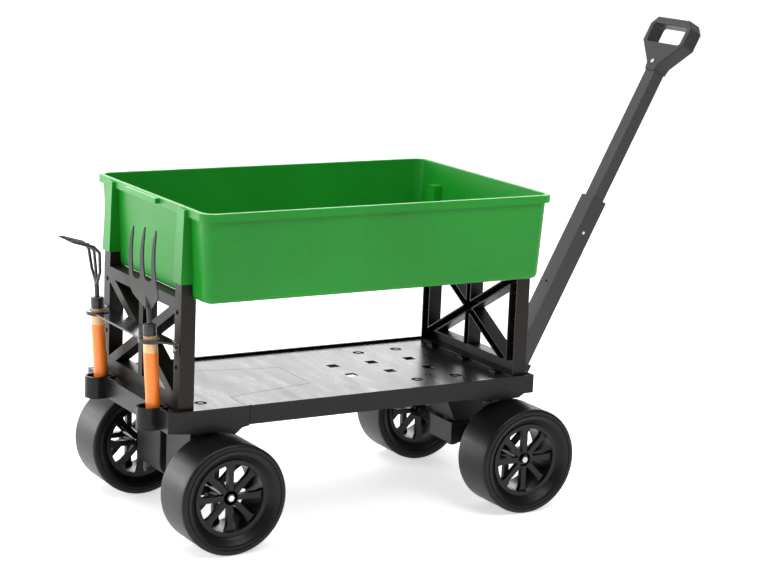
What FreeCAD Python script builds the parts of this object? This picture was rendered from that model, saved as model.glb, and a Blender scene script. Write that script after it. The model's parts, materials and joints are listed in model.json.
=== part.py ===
import FreeCAD, Part
import math
import os

import Sketcher

# Garden cart with a lift-off tub, a steered front axle and a telescopic tow handle.
# X runs from the rear of the cart to its front, Y to its left, and Z up from the ground.

document = FreeCAD.newDocument("GardenCart")
sheet = document.addObject("Spreadsheet::Sheet", "Sizes")

driving_sizes = {
    # Where the deck's centre stands along X
    "deck_center_x": -207.67,
    # Deck
    "deck_length": 867.2,
    "deck_width": 406.0,
    "deck_above_wheels": 56.0,
    "deck_height": 40.0,
    "deck_recess": 5.5,
    "deck_plate": 4.0,
    "deck_skirt_dip_depth": 8.0,
    "deck_wall": 3.5,
    "deck_rim_width": 6.0,
    "seam_from_rear": 180.6,
    "seam_gap": 1.0,
    "tongue_length": 207.0,
    "tongue_root_width": 224.0,
    "tongue_tip_width": 142.0,
    "drain_hole": 24.0,
    "drain_hole_y": 41.0,
    "drain_hole_first_x": 71.0,
    "drain_hole_pitch": 96.5,
    # Screws that hold the deck to its rails
    "recess_radius": 13.0,
    "recess_depth": 2.5,
    "front_recess_first_x": 184.0,
    "front_recess_second_x": 281.0,
    "rear_recess_setback": 12.0,
    "rear_recess_y": 132.5,
    "deck_screw_radius": 2.5,
    "deck_screw_head_radius": 5.5,
    "screw_hole_clearance": 0.2,
    # Side rails
    "rail_size": 25.0,
    "rail_wall": 2.0,
    "rail_y": 127.5,
    "rail_gap": 1.5,
    "rail_end_gap": 14.0,
    # End panels
    "rear_panel_inset": 28.6,
    "front_panel_inset": 15.6,
    "panel_depth": 32.0,
    "panel_wall": 3.0,
    "panel_height": 229.5,
    "post_width": 30.0,
    "post_outer_y": 191.0,
    "beam_height": 24.0,
    "foot_beam_height": 34.0,
    "brace_width": 20.0,
    "tenon_height": 125.0,
    "tenon_inset": 3.0,
    "keyhole_radius": 5.0,
    "foot_tab_reach": 14.0,
    "foot_tab_height": 4.0,
    "panel_screw_y": 130.5,
    # Tub
    "tub_rear_overlap": 8.5,
    "tub_front_overlap": 0.7,
    "tub_half_width": 268.0,
    "tub_height": 181.2,
    "tub_wall": 3.5,
    "tub_floor": 4.0,
    "tub_wall_inset_top": 7.9,
    "tub_wall_inset_bottom": 15.9,
    "tub_corner_radius": 28.0,
    "tub_bottom_fillet": 9.0,
    "lip_height": 16.0,
    "lip_wall": 3.0,
    "rest_gap": 0.3,
    "socket_bottom_rise": 30.7,
    "socket_wall": 3.0,
    "socket_gap": 0.5,
    "socket_roof": 8.0,
    "grip_lip_reach": 9.5,
    "grip_lip_rear_y": -60.0,
    "grip_lip_front_y": 92.0,
    # Tool rack and the cups on the deck
    "rack_above_deck": 135.0,
    "rack_plate": 4.0,
    "rack_reach": 53.0,
    "rack_ring_wall": 7.0,
    "rack_hole_gap": 3.0,
    "rack_ring_reach": 38.0,
    "cup_gap": 4.0,
    "cup_wall": 4.0,
    "cup_depth": 46.0,
    "cup_floor": 3.0,
    "cup_overhang": 12.4,
    "cup_end_gap": 0.7,
    "rail_cup_gap": 0.5,
    # Hand tools
    "tool_y": 132.0,
    "tool_radius": 15.0,
    "tool_lean": 3.8,
    "tool_foot_gap": 2.0,
    "tool_handle_length": 186.0,
    "ferrule_radius": 13.7,
    "ferrule_wall": 1.5,
    "ferrule_height": 24.0,
    "fork_neck": 34.0,
    "fork_neck_radius": 5.0,
    "fork_width": 84.0,
    "fork_foot_width": 28.0,
    "fork_shoulder": 34.0,
    "fork_length": 158.0,
    "fork_tine_length": 102.0,
    "fork_tine_width": 13.0,
    "fork_tip_length": 14.0,
    "fork_thickness": 3.0,
    "fork_dish_radius": 280.0,
    "fork_turn": 15.0,
    "tang_radius": 4.5,
    "cultivator_tine_radius": 3.2,
    "cultivator_spread": 29.0,
    # Wheels
    "wheel_radius": 115.0,
    "wheel_width": 108.0,
    "wheel_center_y": 222.0,
    "rear_axle_inset": 115.6,
    "front_axle_inset": 49.6,
    "tyre_shoulder": 6.0,
    "rim_radius": 76.0,
    "rim_wall": 6.0,
    "bowl_depth": 17.0,
    "hub_radius": 17.0,
    "hub_inner": 50.0,
    "hub_outer": 22.0,
    "spoke_width": 12.0,
    "spoke_depth": 12.0,
    "bush_radius": 10.0,
    "bush_flange_radius": 14.0,
    "bush_flange": 2.0,
    "bush_length": 16.0,
    "axle_radius": 6.0,
    "running_gap": 0.05,
    "side_gap": 0.3,
    "washer_thickness": 3.0,
    "washer_radius": 13.0,
    "nut_height": 9.0,
    "nut_radius": 9.5,
    "axle_tube_radius": 15.0,
    # Axle supports
    "bracket_inner_y": 15.0,
    "bracket_outer_y": 130.0,
    "bracket_radius": 32.0,
    "flange_height": 6.0,
    "flange_reach": 50.0,
    "flange_half_width": 140.0,
    "bracket_bolt_reach": 41.0,
    "mount_bolt_radius": 3.0,
    "mount_bolt_head_radius": 6.0,
    "bolster_half_width": 45.0,
    "bolster_above_axle": 35.0,
    "bolster_rear_reach": 89.0,
    "bolster_front_reach": 36.0,
    "bolster_rear_slope": 43.0,
    "bolster_front_slope": 15.0,
    "bolster_flange_shift": 5.0,
    "bolster_bolt_inset": 10.0,
    "kingpin_setback": 22.0,
    "kingpin_radius": 8.0,
    "carrier_below_axle": 15.0,
    "carrier_height": 47.0,
    "carrier_rear_reach": 54.0,
    "carrier_front_reach": 56.0,
    "carrier_arm_length": 60.0,
    "carrier_arm_half_width": 22.0,
    "carrier_arm_rise": 20.0,
    # Tow handle
    "tow_pivot_reach": 80.1,
    "tow_pivot_above_axle": 35.0,
    "tow_tilt": 27.7,
    "tow_eye_radius": 17.0,
    "tow_eye_half_width": 13.0,
    "tow_lug_width": 12.0,
    "tow_lug_root": 10.0,
    "tow_lug_drop": 32.0,
    "tow_lug_gap": 0.5,
    "tow_bolt_radius": 6.0,
    "yoke_wall": 5.0,
    "yoke_start": 60.0,
    "yoke_end": 131.4,
    "guide_wall_width": 2.7,
    "guide_wall_depth": 2.2,
    "outer_tube_wall": 3.0,
    "outer_tube_start": 70.0,
    "outer_tube_end": 534.4,
    "inner_tube_width": 34.0,
    "inner_tube_depth": 29.0,
    "inner_tube_wall": 2.0,
    "inner_tube_start": 415.0,
    "slide_gap": 0.3,
    "guide_length": 30.0,
    "cap_height": 3.0,
    "button_height": 453.4,
    "button_radius": 4.0,
    "button_reach": 4.3,
    "grip_start": 858.4,
    "grip_end": 988.4,
    "grip_neck_half_width": 19.0,
    "grip_half_width": 74.0,
    "grip_depth": 38.0,
    "grip_flare_end": 926.4,
    "grip_opening_height": 45.0,
    "grip_side_bar": 14.0,
    "grip_corner": 18.0,
    "grip_socket": 36.0,
}


class Formula:
    # A size as the sheet knows it, with its number, so that sizes add and multiply.
    def __init__(self, text, number):
        self.text = text
        self.number = number

    def __add__(self, other):
        other = as_formula(other)
        return Formula(f"({self.text} + {other.text})", self.number + other.number)

    def __sub__(self, other):
        other = as_formula(other)
        return Formula(f"({self.text} - {other.text})", self.number - other.number)

    def __mul__(self, other):
        other = as_formula(other)
        return Formula(f"({self.text} * {other.text})", self.number * other.number)

    def __truediv__(self, other):
        other = as_formula(other)
        return Formula(f"({self.text} / {other.text})", self.number / other.number)

    def __neg__(self):
        return Formula(f"(0 - {self.text})", -self.number)

    def __radd__(self, other):
        return as_formula(other) + self

    def __rsub__(self, other):
        return as_formula(other) - self

    def __rmul__(self, other):
        return as_formula(other) * self


def as_formula(value):
    if isinstance(value, Formula):
        return value
    return Formula(f"({float(value)})", float(value))


def hypotenuse(first, second):
    first = as_formula(first)
    second = as_formula(second)
    return Formula(f"hypot({first.text}; {second.text})", math.hypot(first.number, second.number))


def slope_angle(rise, run):
    rise = as_formula(rise)
    run = as_formula(run)
    degrees = math.degrees(math.atan2(rise.number, run.number))
    return Formula(f"atan2({rise.text}; {run.text})", degrees)


class Sizes:
    # Every named size of the sheet, as a Formula
    pass


size = Sizes()
for row, (alias, number) in enumerate(driving_sizes.items(), start=1):
    sheet.set(f"A{row}", alias.replace("_", " "))
    sheet.set(f"B{row}", str(number))
    sheet.setAlias(f"B{row}", alias)
    setattr(size, alias, Formula(f"Sizes.{alias}", number))
document.recompute()


def both_ways(half):
    return (-half, half)


def around(center, half):
    return (center - half, center + half)


def bind(item, path, value):
    item.setExpression(path, as_formula(value).text)


def place(item, x, y, z):
    bind(item, "Placement.Base.x", x)
    bind(item, "Placement.Base.y", y)
    bind(item, "Placement.Base.z", z)


def block(name, x, y, z):
    # A box between two corners; x, y and z are pairs of low and high.
    item = document.addObject("Part::Box", name)
    bind(item, "Length", as_formula(x[1]) - x[0])
    bind(item, "Width", as_formula(y[1]) - y[0])
    bind(item, "Height", as_formula(z[1]) - z[0])
    place(item, x[0], y[0], z[0])
    return item


axis_turns = {
    "x": FreeCAD.Rotation(FreeCAD.Vector(0, 1, 0), 90),
    "y": FreeCAD.Rotation(FreeCAD.Vector(1, 0, 0), -90),
    "z": FreeCAD.Rotation(),
}


def rod(name, axis, start, radius, length):
    # A round bar from its start along +X, +Y or +Z.
    item = document.addObject("Part::Cylinder", name)
    item.Placement = FreeCAD.Placement(FreeCAD.Vector(), axis_turns[axis])
    bind(item, "Radius", radius)
    bind(item, "Height", length)
    place(item, *start)
    return item


def hexagon(name, axis, start, radius, length):
    # A hexagonal prism across its corners, for nuts and bolt heads.
    item = document.addObject("Part::Prism", name)
    item.Placement = FreeCAD.Placement(FreeCAD.Vector(), axis_turns[axis])
    item.Polygon = 6
    bind(item, "Circumradius", radius)
    bind(item, "Height", length)
    place(item, *start)
    return item


def taper(name, low, high, bottom, top):
    # An upright tapered box; bottom and top are pairs of x and y pairs.
    item = document.addObject("Part::Wedge", name)
    quarter_turn = FreeCAD.Rotation(FreeCAD.Vector(1, 0, 0), 90)
    item.Placement = FreeCAD.Placement(FreeCAD.Vector(), quarter_turn)
    bind(item, "Ymin", low)
    bind(item, "Ymax", high)
    for x_name, z_name, (x, y) in (("X", "Z", bottom), ("X2", "Z2", top)):
        bind(item, f"{x_name}min", x[0])
        bind(item, f"{x_name}max", x[1])
        bind(item, f"{z_name}min", -as_formula(y[1]))
        bind(item, f"{z_name}max", -as_formula(y[0]))
    return item


def bar(name, x, start, end, width):
    # A straight bar in a plane across the cart, between two (y, z) points.
    rise = as_formula(end[1]) - start[1]
    run = as_formula(end[0]) - start[0]
    length = hypotenuse(run, rise)
    item = document.addObject("Part::Box", name)
    item.Placement = FreeCAD.Placement(FreeCAD.Vector(), FreeCAD.Rotation(FreeCAD.Vector(1, 0, 0), 1))
    bind(item, "Placement.Rotation.Angle", slope_angle(rise, run))
    bind(item, "Length", as_formula(x[1]) - x[0])
    bind(item, "Width", length)
    bind(item, "Height", width)
    side_y = start[0] + rise / length * width / 2
    side_z = start[1] - run / length * width / 2
    place(item, x[0], side_y, side_z)
    return item


def join(name, items):
    item = document.addObject("Part::MultiFuse", name)
    item.Shapes = items
    item.Refine = True
    return item


def remove(name, base, tools):
    item = document.addObject("Part::Cut", name)
    item.Base = base
    item.Tool = tools[0] if len(tools) == 1 else join(f"{name}_tools", tools)
    item.Refine = True
    return item


def group(name, items):
    item = document.addObject("Part::Compound", name)
    item.Links = items
    return item


def new_body(name):
    return document.addObject("PartDesign::Body", name)


def origin_plane(body, role):
    for feature in body.Origin.OriginFeatures:
        if feature.Role == role:
            return feature
    raise ValueError(role)


def new_sketch(body, name, plane, offset=0):
    sketch = body.newObject("Sketcher::SketchObject", name)
    sketch.AttachmentSupport = (origin_plane(body, plane), "")
    sketch.MapMode = "FlatFace"
    bind(sketch, "AttachmentOffset.Base.z", offset)
    return sketch


def constrain(sketch, kind, *geometry, value):
    index = sketch.addConstraint(Sketcher.Constraint(kind, *geometry, value.number))
    sketch.setExpression(f"Constraints[{index}]", value.text)


def arc_between(start, end, radius):
    # The shorter arc from start to end: a positive radius turns left on the way, a negative one right.
    chord = end - start
    middle = start + chord * 0.5
    left = FreeCAD.Vector(-chord.y, chord.x, 0).normalize()
    height = math.sqrt(max(0.0, radius * radius - chord.Length ** 2 / 4))
    center = middle + left * math.copysign(height, radius)
    circle = Part.Circle(center, FreeCAD.Vector(0, 0, 1), abs(radius))
    first, last = (start, end) if radius > 0 else (end, start)
    first_angle = math.atan2(first.y - center.y, first.x - center.x)
    last_angle = math.atan2(last.y - center.y, last.x - center.x)
    return Part.ArcOfCircle(circle, first_angle, last_angle)


def outline(sketch, points):
    # A closed outline of (x, y) points. A third value makes the step to that point an arc.
    corners = []
    for point in points:
        corners.append([as_formula(value) for value in point])
    places = [FreeCAD.Vector(corner[0].number, corner[1].number, 0) for corner in corners]
    ends = []
    for index, corner in enumerate(corners):
        before = places[index - 1]
        after = places[index]
        if len(corner) == 3:
            radius = corner[2].number
            edge = sketch.addGeometry(arc_between(before, after, radius), False)
            constrain(sketch, "Radius", edge, value=as_formula(corner[2] if radius > 0 else -corner[2]))
            start_end = (1, 2) if radius > 0 else (2, 1)
        else:
            edge = sketch.addGeometry(Part.LineSegment(before, after), False)
            start_end = (1, 2)
        ends.append((edge, *start_end))
    for index, corner in enumerate(corners):
        edge, start, end = ends[index]
        next_edge, next_start, next_end = ends[(index + 1) % len(ends)]
        sketch.addConstraint(Sketcher.Constraint("Coincident", edge, end, next_edge, next_start))
        constrain(sketch, "DistanceX", edge, end, value=corner[0])
        constrain(sketch, "DistanceY", edge, end, value=corner[1])
    return sketch


def rounded_rectangle(sketch, x, y, radius):
    left, right = x
    low, high = y
    return outline(sketch, [
        (left + radius, low),
        (right - radius, low),
        (right, low + radius, radius),
        (right, high - radius),
        (right - radius, high, radius),
        (left + radius, high),
        (left, high - radius, radius),
        (left, low + radius),
        (left + radius, low, radius),
    ][1:])


def rectangle(sketch, x, y):
    return outline(sketch, [(x[0], y[0]), (x[1], y[0]), (x[1], y[1]), (x[0], y[1])])


def circle(sketch, x, y, radius):
    x = as_formula(x)
    y = as_formula(y)
    radius = as_formula(radius)
    center = FreeCAD.Vector(x.number, y.number, 0)
    edge = sketch.addGeometry(Part.Circle(center, FreeCAD.Vector(0, 0, 1), radius.number), False)
    constrain(sketch, "DistanceX", edge, 3, value=x)
    constrain(sketch, "DistanceY", edge, 3, value=y)
    constrain(sketch, "Radius", edge, value=radius)
    return sketch


def pad(body, name, sketch, length, symmetric=False):
    feature = body.newObject("PartDesign::Pad", name)
    feature.Profile = sketch
    feature.Midplane = symmetric
    bind(feature, "Length", length)
    return feature


def pocket(body, name, sketch, length, symmetric=False, reverse=False):
    before = solid_volume(body)
    feature = body.newObject("PartDesign::Pocket", name)
    feature.Profile = sketch
    feature.Midplane = symmetric
    feature.Reversed = reverse
    bind(feature, "Length", length)
    if solid_volume(body) >= before:
        raise RuntimeError(f"{name} cuts nothing")
    return feature


def solid_volume(body):
    document.recompute()
    return body.Shape.Volume


def revolve(body, name, sketch):
    feature = body.newObject("PartDesign::Revolution", name)
    feature.Profile = sketch
    feature.ReferenceAxis = (sketch, ["V_Axis"])
    feature.Angle = 360
    return feature


def loft(body, name, sections, subtract=False):
    kind = "PartDesign::SubtractiveLoft" if subtract else "PartDesign::AdditiveLoft"
    feature = body.newObject(kind, name)
    feature.Profile = sections[0]
    feature.Sections = sections[1:]
    feature.Ruled = True
    return feature


def spin_copies(body, name, feature, sketch, count):
    pattern = body.newObject("PartDesign::PolarPattern", name)
    pattern.Originals = [feature]
    pattern.Axis = (sketch, ["N_Axis"])
    pattern.Angle = 360
    pattern.Occurrences = count
    body.Tip = pattern
    return pattern


def fillet_where(body, name, radius, wanted):
    # Rounds the edges of the finished body that the wanted test picks out.
    document.recompute()
    base = body.Tip
    names = []
    for index, edge in enumerate(base.Shape.Edges, start=1):
        if wanted(edge):
            names.append(f"Edge{index}")
    if not names:
        raise RuntimeError(f"{name} finds no edge")
    feature = body.newObject("PartDesign::Fillet", name)
    feature.Base = (base, names)
    bind(feature, "Radius", radius)
    body.Tip = feature
    return feature


nodes = {}


def finish(item, label):
    # A piece of the cart, in the cart's own place.
    item.Label = label
    bind(item, "Placement.Base.x", size.deck_center_x)
    nodes[label] = item
    return item


def tilt_into_place(item, label, x, y, z, angle):
    # A piece modelled upright about its own foot, then leaned forward about Y.
    item.Label = label
    item.Placement = FreeCAD.Placement(FreeCAD.Vector(), FreeCAD.Rotation(FreeCAD.Vector(0, 1, 0), 1))
    bind(item, "Placement.Rotation.Angle", angle)
    place(item, x + size.deck_center_x, y, z)
    nodes[label] = item
    return item


# Places that several pieces share
deck_rear_x = -size.deck_length / 2
deck_front_x = size.deck_length / 2
deck_half_width = size.deck_width / 2
deck_top = 2 * size.wheel_radius + size.deck_above_wheels
deck_skirt_bottom = deck_top - size.deck_height
deck_skirt_dip = deck_skirt_bottom - size.deck_skirt_dip_depth
deck_surface = deck_top - size.deck_recess
deck_underside = deck_surface - size.deck_plate
seam_x = deck_rear_x + size.seam_from_rear
rear_axle_x = deck_rear_x + size.rear_axle_inset
front_axle_x = deck_front_x - size.front_axle_inset
kingpin_x = front_axle_x - size.kingpin_setback
tow_pivot_x = front_axle_x + size.tow_pivot_reach
rear_panel_x = (deck_rear_x + size.rear_panel_inset, deck_rear_x + size.rear_panel_inset + size.panel_depth)
front_panel_x = (deck_front_x - size.front_panel_inset - size.panel_depth, deck_front_x - size.front_panel_inset)
post_inner_y = size.post_outer_y - size.post_width
rail_top = deck_underside - size.rail_gap
rail_bottom = rail_top - size.rail_size
flange_bottom = rail_bottom - size.flange_height
tub_x = (rear_panel_x[0] + size.tub_rear_overlap, front_panel_x[1] - size.tub_front_overlap)
panel_top = deck_surface + size.panel_height
tenon_top = panel_top + size.tenon_height
tub_bottom = panel_top + size.rest_gap
tub_top = tub_bottom + size.tub_height
socket_bottom = tub_bottom + size.socket_bottom_rise
socket_bulge_top = tenon_top + size.socket_roof
bolster_bottom = size.wheel_radius + size.bolster_above_axle
carrier_bottom = size.wheel_radius - size.carrier_below_axle
tow_pivot_z = size.wheel_radius + size.tow_pivot_above_axle
cup_x = deck_rear_x - size.cup_overhang
cup_radius = size.tool_radius + size.cup_gap + size.cup_wall
cup_bottom = deck_top - size.cup_depth
rack_height = deck_top + size.rack_above_deck
rack_hole_radius = size.tool_radius + size.rack_hole_gap
rack_ring_radius = rack_hole_radius + size.rack_ring_wall
tool_foot_z = cup_bottom + size.cup_floor + size.tool_foot_gap
rack_ring_x = rear_panel_x[0] - size.rack_ring_reach
lean_slope = math.tan(math.radians(driving_sizes["tool_lean"]))
tool_foot_x = rack_ring_x + (rack_height - tool_foot_z) * lean_slope
cup_inner_end = tool_foot_x + size.tool_radius + size.cup_end_gap
front_recess_spots = [
    (x, side * size.rail_y)
    for x in (size.front_recess_first_x, size.front_recess_second_x)
    for side in (-1, 1)
]
rear_recess_spots = [(rear_axle_x - size.rear_recess_setback, side * size.rear_recess_y) for side in (-1, 1)]
recess_spots = front_recess_spots + rear_recess_spots


def mirrored(spots):
    return [(x, side * y) for x, y in spots for side in (-1, 1)]


def upright_rods(name, spots, low, high, radius):
    rods = []
    for index, (x, y) in enumerate(spots):
        rods.append(rod(f"{name}_{index}", "z", (x, y, low), radius, as_formula(high) - low))
    return rods


# Deck ---------------------------------------------------------------

def skirt_outline(sketch, x, bottom_points):
    return outline(sketch, bottom_points + [(x[1], deck_top), (x[0], deck_top)])


def shell_from(body, name, x, bottom_points, open_front, open_rear):
    # A plate with a raised rim above and a skirt below, open at the seam.
    side = new_sketch(body, f"{name}_side", "XZ_Plane")
    skirt_outline(side, x, bottom_points)
    pad(body, f"{name}_block", side, size.deck_width, symmetric=True)
    rear_rim = -1 if open_rear else size.deck_rim_width
    front_rim = -1 if open_front else size.deck_rim_width
    top = new_sketch(body, f"{name}_top", "XZ_Plane")
    rectangle(top, (x[0] + rear_rim, x[1] - front_rim), (deck_surface, deck_top + 1))
    pocket(body, f"{name}_recess", top, size.deck_width - 2 * size.deck_rim_width, symmetric=True)
    rear_wall = -1 if open_rear else size.deck_wall
    front_wall = -1 if open_front else size.deck_wall
    under = new_sketch(body, f"{name}_under", "XZ_Plane")
    rectangle(under, (x[0] + rear_wall, x[1] - front_wall), (deck_skirt_dip - 20, deck_underside))
    pocket(body, f"{name}_cavity", under, size.deck_width - 2 * size.deck_wall, symmetric=True)


def tongue_points(grow):
    # The rear moulding's tongue, which narrows forwards into the front one.
    root_x = seam_x - 2
    tip_x = seam_x + size.tongue_length + grow
    root_half = size.tongue_root_width / 2 + grow
    tip_half = size.tongue_tip_width / 2 + grow
    return [(root_x, -root_half), (tip_x, -tip_half), (tip_x, tip_half), (root_x, root_half)]


def drain_holes():
    holes = []
    for index in range(3):
        for side in (-1, 1):
            x = size.drain_hole_first_x + index * size.drain_hole_pitch
            y = side * size.drain_hole_y
            holes.append(block(
                f"drain_hole_{index}_{side + 1}",
                around(x, size.drain_hole / 2),
                around(y, size.drain_hole / 2),
                (deck_underside - 30, deck_top),
            ))
    return holes


def deck_recesses(name, spots):
    cuts = upright_rods(f"{name}_recess_cut", spots, deck_surface - size.recess_depth, deck_top, size.recess_radius)
    hole_radius = size.deck_screw_radius + size.screw_hole_clearance
    cuts += upright_rods(f"{name}_screw_hole", spots, rail_top - 5, deck_top, hole_radius)
    return cuts


def deck_bosses(name, spots):
    return upright_rods(f"{name}_boss", spots, rail_top, deck_surface, size.recess_radius + 2)


panel_screw_spots = {
    "rear": [(rear_panel_x[1] + size.foot_tab_reach / 2, y * size.panel_screw_y) for y in (-1, 0, 1)],
    "front": [(front_panel_x[0] - size.foot_tab_reach / 2, y * size.panel_screw_y) for y in (-1, 0, 1)],
}


def panel_screw_holes(name, low, high):
    radius = 2 + size.screw_hole_clearance
    return upright_rods(f"{name}_panel_screw_hole", panel_screw_spots[name], low, high, radius)


def cup_shape(name, side, radius, low, high, inner_end):
    round_end = rod(f"{name}_round", "z", (cup_x, side * size.tool_y, low), radius, high - low)
    straight = block(
        f"{name}_straight",
        (cup_x, inner_end),
        around(side * size.tool_y, radius),
        (low, high),
    )
    return [round_end, straight]


def make_deck_rear():
    body = new_body("deck_rear_shell")
    x = (deck_rear_x, seam_x - size.seam_gap / 2)
    bottom_points = [
        (x[0], deck_skirt_bottom - 2),
        (rear_axle_x - 57, deck_skirt_dip),
        (rear_axle_x - 3, deck_skirt_dip),
        (rear_axle_x + 33, deck_skirt_dip - 9.5),
        (rear_axle_x + 48, deck_skirt_bottom - 5),
        (x[1], deck_skirt_bottom - 2),
    ]
    shell_from(body, "deck_rear", x, bottom_points, open_front=True, open_rear=False)
    tongue = new_sketch(body, "tongue_outline", "XY_Plane", deck_underside)
    outline(tongue, tongue_points(-size.seam_gap / 2))
    pad(body, "tongue", tongue, size.deck_plate)
    spots = rear_recess_spots
    added = deck_bosses("rear", spots)
    for side in (-1, 1):
        added += cup_shape(f"cup_{side + 1}", side, cup_radius, cup_bottom, deck_top,
                           cup_inner_end + size.cup_wall)
    solid = join("deck_rear_joined", [body] + added)
    cuts = deck_recesses("rear", spots) + panel_screw_holes("rear", deck_underside - 5, deck_top)
    for side in (-1, 1):
        cuts += cup_shape(f"cup_pocket_{side + 1}", side, cup_radius - size.cup_wall,
                          cup_bottom + size.cup_floor, deck_top + 1, cup_inner_end)
    finish(remove("deck_rear_moulding", solid, cuts), "deck_rear")


def make_deck_front():
    body = new_body("deck_front_shell")
    x = (seam_x + size.seam_gap / 2, deck_front_x)
    bottom_points = [
        (x[0], deck_skirt_bottom),
        (front_axle_x - 120, deck_skirt_bottom),
        (front_axle_x - 84, deck_skirt_dip),
        (front_axle_x + 12, deck_skirt_dip),
        (front_axle_x + 27, deck_skirt_bottom),
        (x[1], deck_skirt_bottom),
    ]
    shell_from(body, "deck_front", x, bottom_points, open_front=False, open_rear=True)
    notch = new_sketch(body, "notch_outline", "XY_Plane", deck_underside - 1)
    outline(notch, tongue_points(size.seam_gap / 2))
    pocket(body, "tongue_notch", notch, size.deck_plate + 2, reverse=True)
    spots = front_recess_spots
    solid = join("deck_front_joined", [body] + deck_bosses("front", spots))
    cuts = deck_recesses("front", spots) + drain_holes()
    cuts += panel_screw_holes("front", deck_underside - 5, deck_top)
    finish(remove("deck_front_moulding", solid, cuts), "deck_front")


def screw(name, x, y, seat, head_radius, head_height, shank_radius, shank_length):
    # A pan-head screw that points down from its seat.
    head = rod(f"{name}_head", "z", (x, y, seat), head_radius, head_height)
    shank = rod(f"{name}_shank", "z", (x, y, seat - shank_length), shank_radius, shank_length)
    slot = block(f"{name}_slot", around(x, 0.6), around(y, head_radius), (seat + head_height / 2, seat + head_height + 1))
    return remove(name, join(f"{name}_blank", [head, shank]), [slot])


def make_deck_screws():
    screws = []
    for index, (x, y) in enumerate(recess_spots):
        screws.append(screw(f"deck_screw_{index}", x, y, deck_surface - size.recess_depth,
                            size.deck_screw_head_radius, as_formula(2.5), size.deck_screw_radius, as_formula(16)))
    finish(group("deck_screw_group", screws), "deck_screws")


def make_panel_screws():
    screws = []
    for name, spots in panel_screw_spots.items():
        for index, (x, y) in enumerate(spots):
            screws.append(screw(f"{name}_panel_screw_{index}", x, y, deck_surface + size.foot_tab_height,
                                as_formula(4.5), as_formula(2.5), as_formula(2), size.foot_tab_height + 3.5))
    finish(group("panel_screw_group", screws), "panel_screws")


bolster_x = (front_axle_x - size.bolster_rear_reach, front_axle_x + size.bolster_front_reach)
bolster_flange_x = (bolster_x[0] + size.bolster_flange_shift, bolster_x[1] + size.bolster_flange_shift)
mount_bolt_spots = [
    (rear_axle_x - size.bracket_bolt_reach, size.rail_y),
    (rear_axle_x + size.bracket_bolt_reach, size.rail_y),
    (bolster_flange_x[0] + size.bolster_bolt_inset, size.rail_y),
    (bolster_flange_x[1] - size.bolster_bolt_inset, size.rail_y),
]


def mount_bolt_holes(name, spots, low, high):
    return upright_rods(f"{name}_mount_hole", spots, low, high, size.mount_bolt_radius + size.screw_hole_clearance)


def make_side_rails():
    rails = []
    x = (deck_rear_x + size.rail_end_gap, deck_front_x - size.rail_end_gap)
    for side in (-1, 1):
        y = around(side * size.rail_y, size.rail_size / 2)
        inner_y = around(side * size.rail_y, size.rail_size / 2 - size.rail_wall)
        outer = block(f"rail_outer_{side + 1}", x, y, (rail_bottom, rail_top))
        inner = block(f"rail_inner_{side + 1}", (x[0] - 1, x[1] + 1), inner_y,
                      (rail_bottom + size.rail_wall, rail_top - size.rail_wall))
        bolt_spots = [(bolt_x, side * y_value) for bolt_x, y_value in mount_bolt_spots]
        cuts = mount_bolt_holes(f"rail_{side + 1}", bolt_spots, rail_bottom - 1, rail_bottom + 4)
        screw_spots = [spot for spot in recess_spots if spot[1].number * side > 0]
        cuts += upright_rods(f"rail_screw_hole_{side + 1}", screw_spots, rail_top - 3, rail_top + 1,
                             size.deck_screw_radius + size.screw_hole_clearance)
        cuts += cup_shape(f"rail_cup_clearance_{side + 1}", side, cup_radius + size.rail_cup_gap,
                          cup_bottom - 1, deck_top, cup_inner_end + size.cup_wall + size.rail_cup_gap)
        rails.append(remove(f"rail_{side + 1}", outer, [inner] + cuts))
    finish(group("rail_pair", rails), "side_rails")


# End panels ---------------------------------------------------------

def panel_bars(name, x, shrink):
    # The bars of one end panel; shrink narrows each one on both sides.
    half_post = size.post_width / 2
    post_y = size.post_outer_y - half_post
    beam_z = panel_top - size.beam_height / 2
    foot_z = deck_surface + size.foot_beam_height / 2
    bars = []
    for side in (-1, 1):
        bars.append(block(f"{name}_post_{side + 1}", x, around(side * post_y, half_post - shrink),
                          (deck_surface + shrink, panel_top - shrink)))
    span = (-size.post_outer_y + shrink, size.post_outer_y - shrink)
    bars.append(block(f"{name}_beam", x, span, around(beam_z, size.beam_height / 2 - shrink)))
    bars.append(block(f"{name}_foot", x, span, around(foot_z, size.foot_beam_height / 2 - shrink)))
    middle = size.brace_width / 2 - shrink
    bars.append(block(f"{name}_middle", x, both_ways(middle), (foot_z, beam_z)))
    for side in (-1, 1):
        bars.append(bar(f"{name}_brace_{side + 1}", x, (-side * post_y, foot_z), (side * post_y, beam_z),
                        size.brace_width - 2 * shrink))
    return bars


def panel_ribs(name, x):
    ribs = []
    post_y = size.post_outer_y - size.post_width / 2
    for index, drop in enumerate((46, 104, 158)):
        for side in (-1, 1):
            ribs.append(block(f"{name}_rib_{index}_{side + 1}", x, around(side * post_y, size.post_width / 2 - 1),
                              around(panel_top - drop, 1.5)))
    return ribs


def tenon(name, x, side, gap):
    # The tapered top of a post; gap makes the socket that takes it.
    inner = post_inner_y - gap
    outer = size.post_outer_y + gap
    inset = size.tenon_inset
    y = (inner, outer) if side > 0 else (-outer, -inner)
    low_x = (x[0] - gap, x[1] + gap)
    top_x = (low_x[0] + inset, low_x[1] - inset)
    top_y = (y[0] + inset, y[1] - inset)
    return taper(name, panel_top, tenon_top + gap, (low_x, y), (top_x, top_y))


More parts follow.
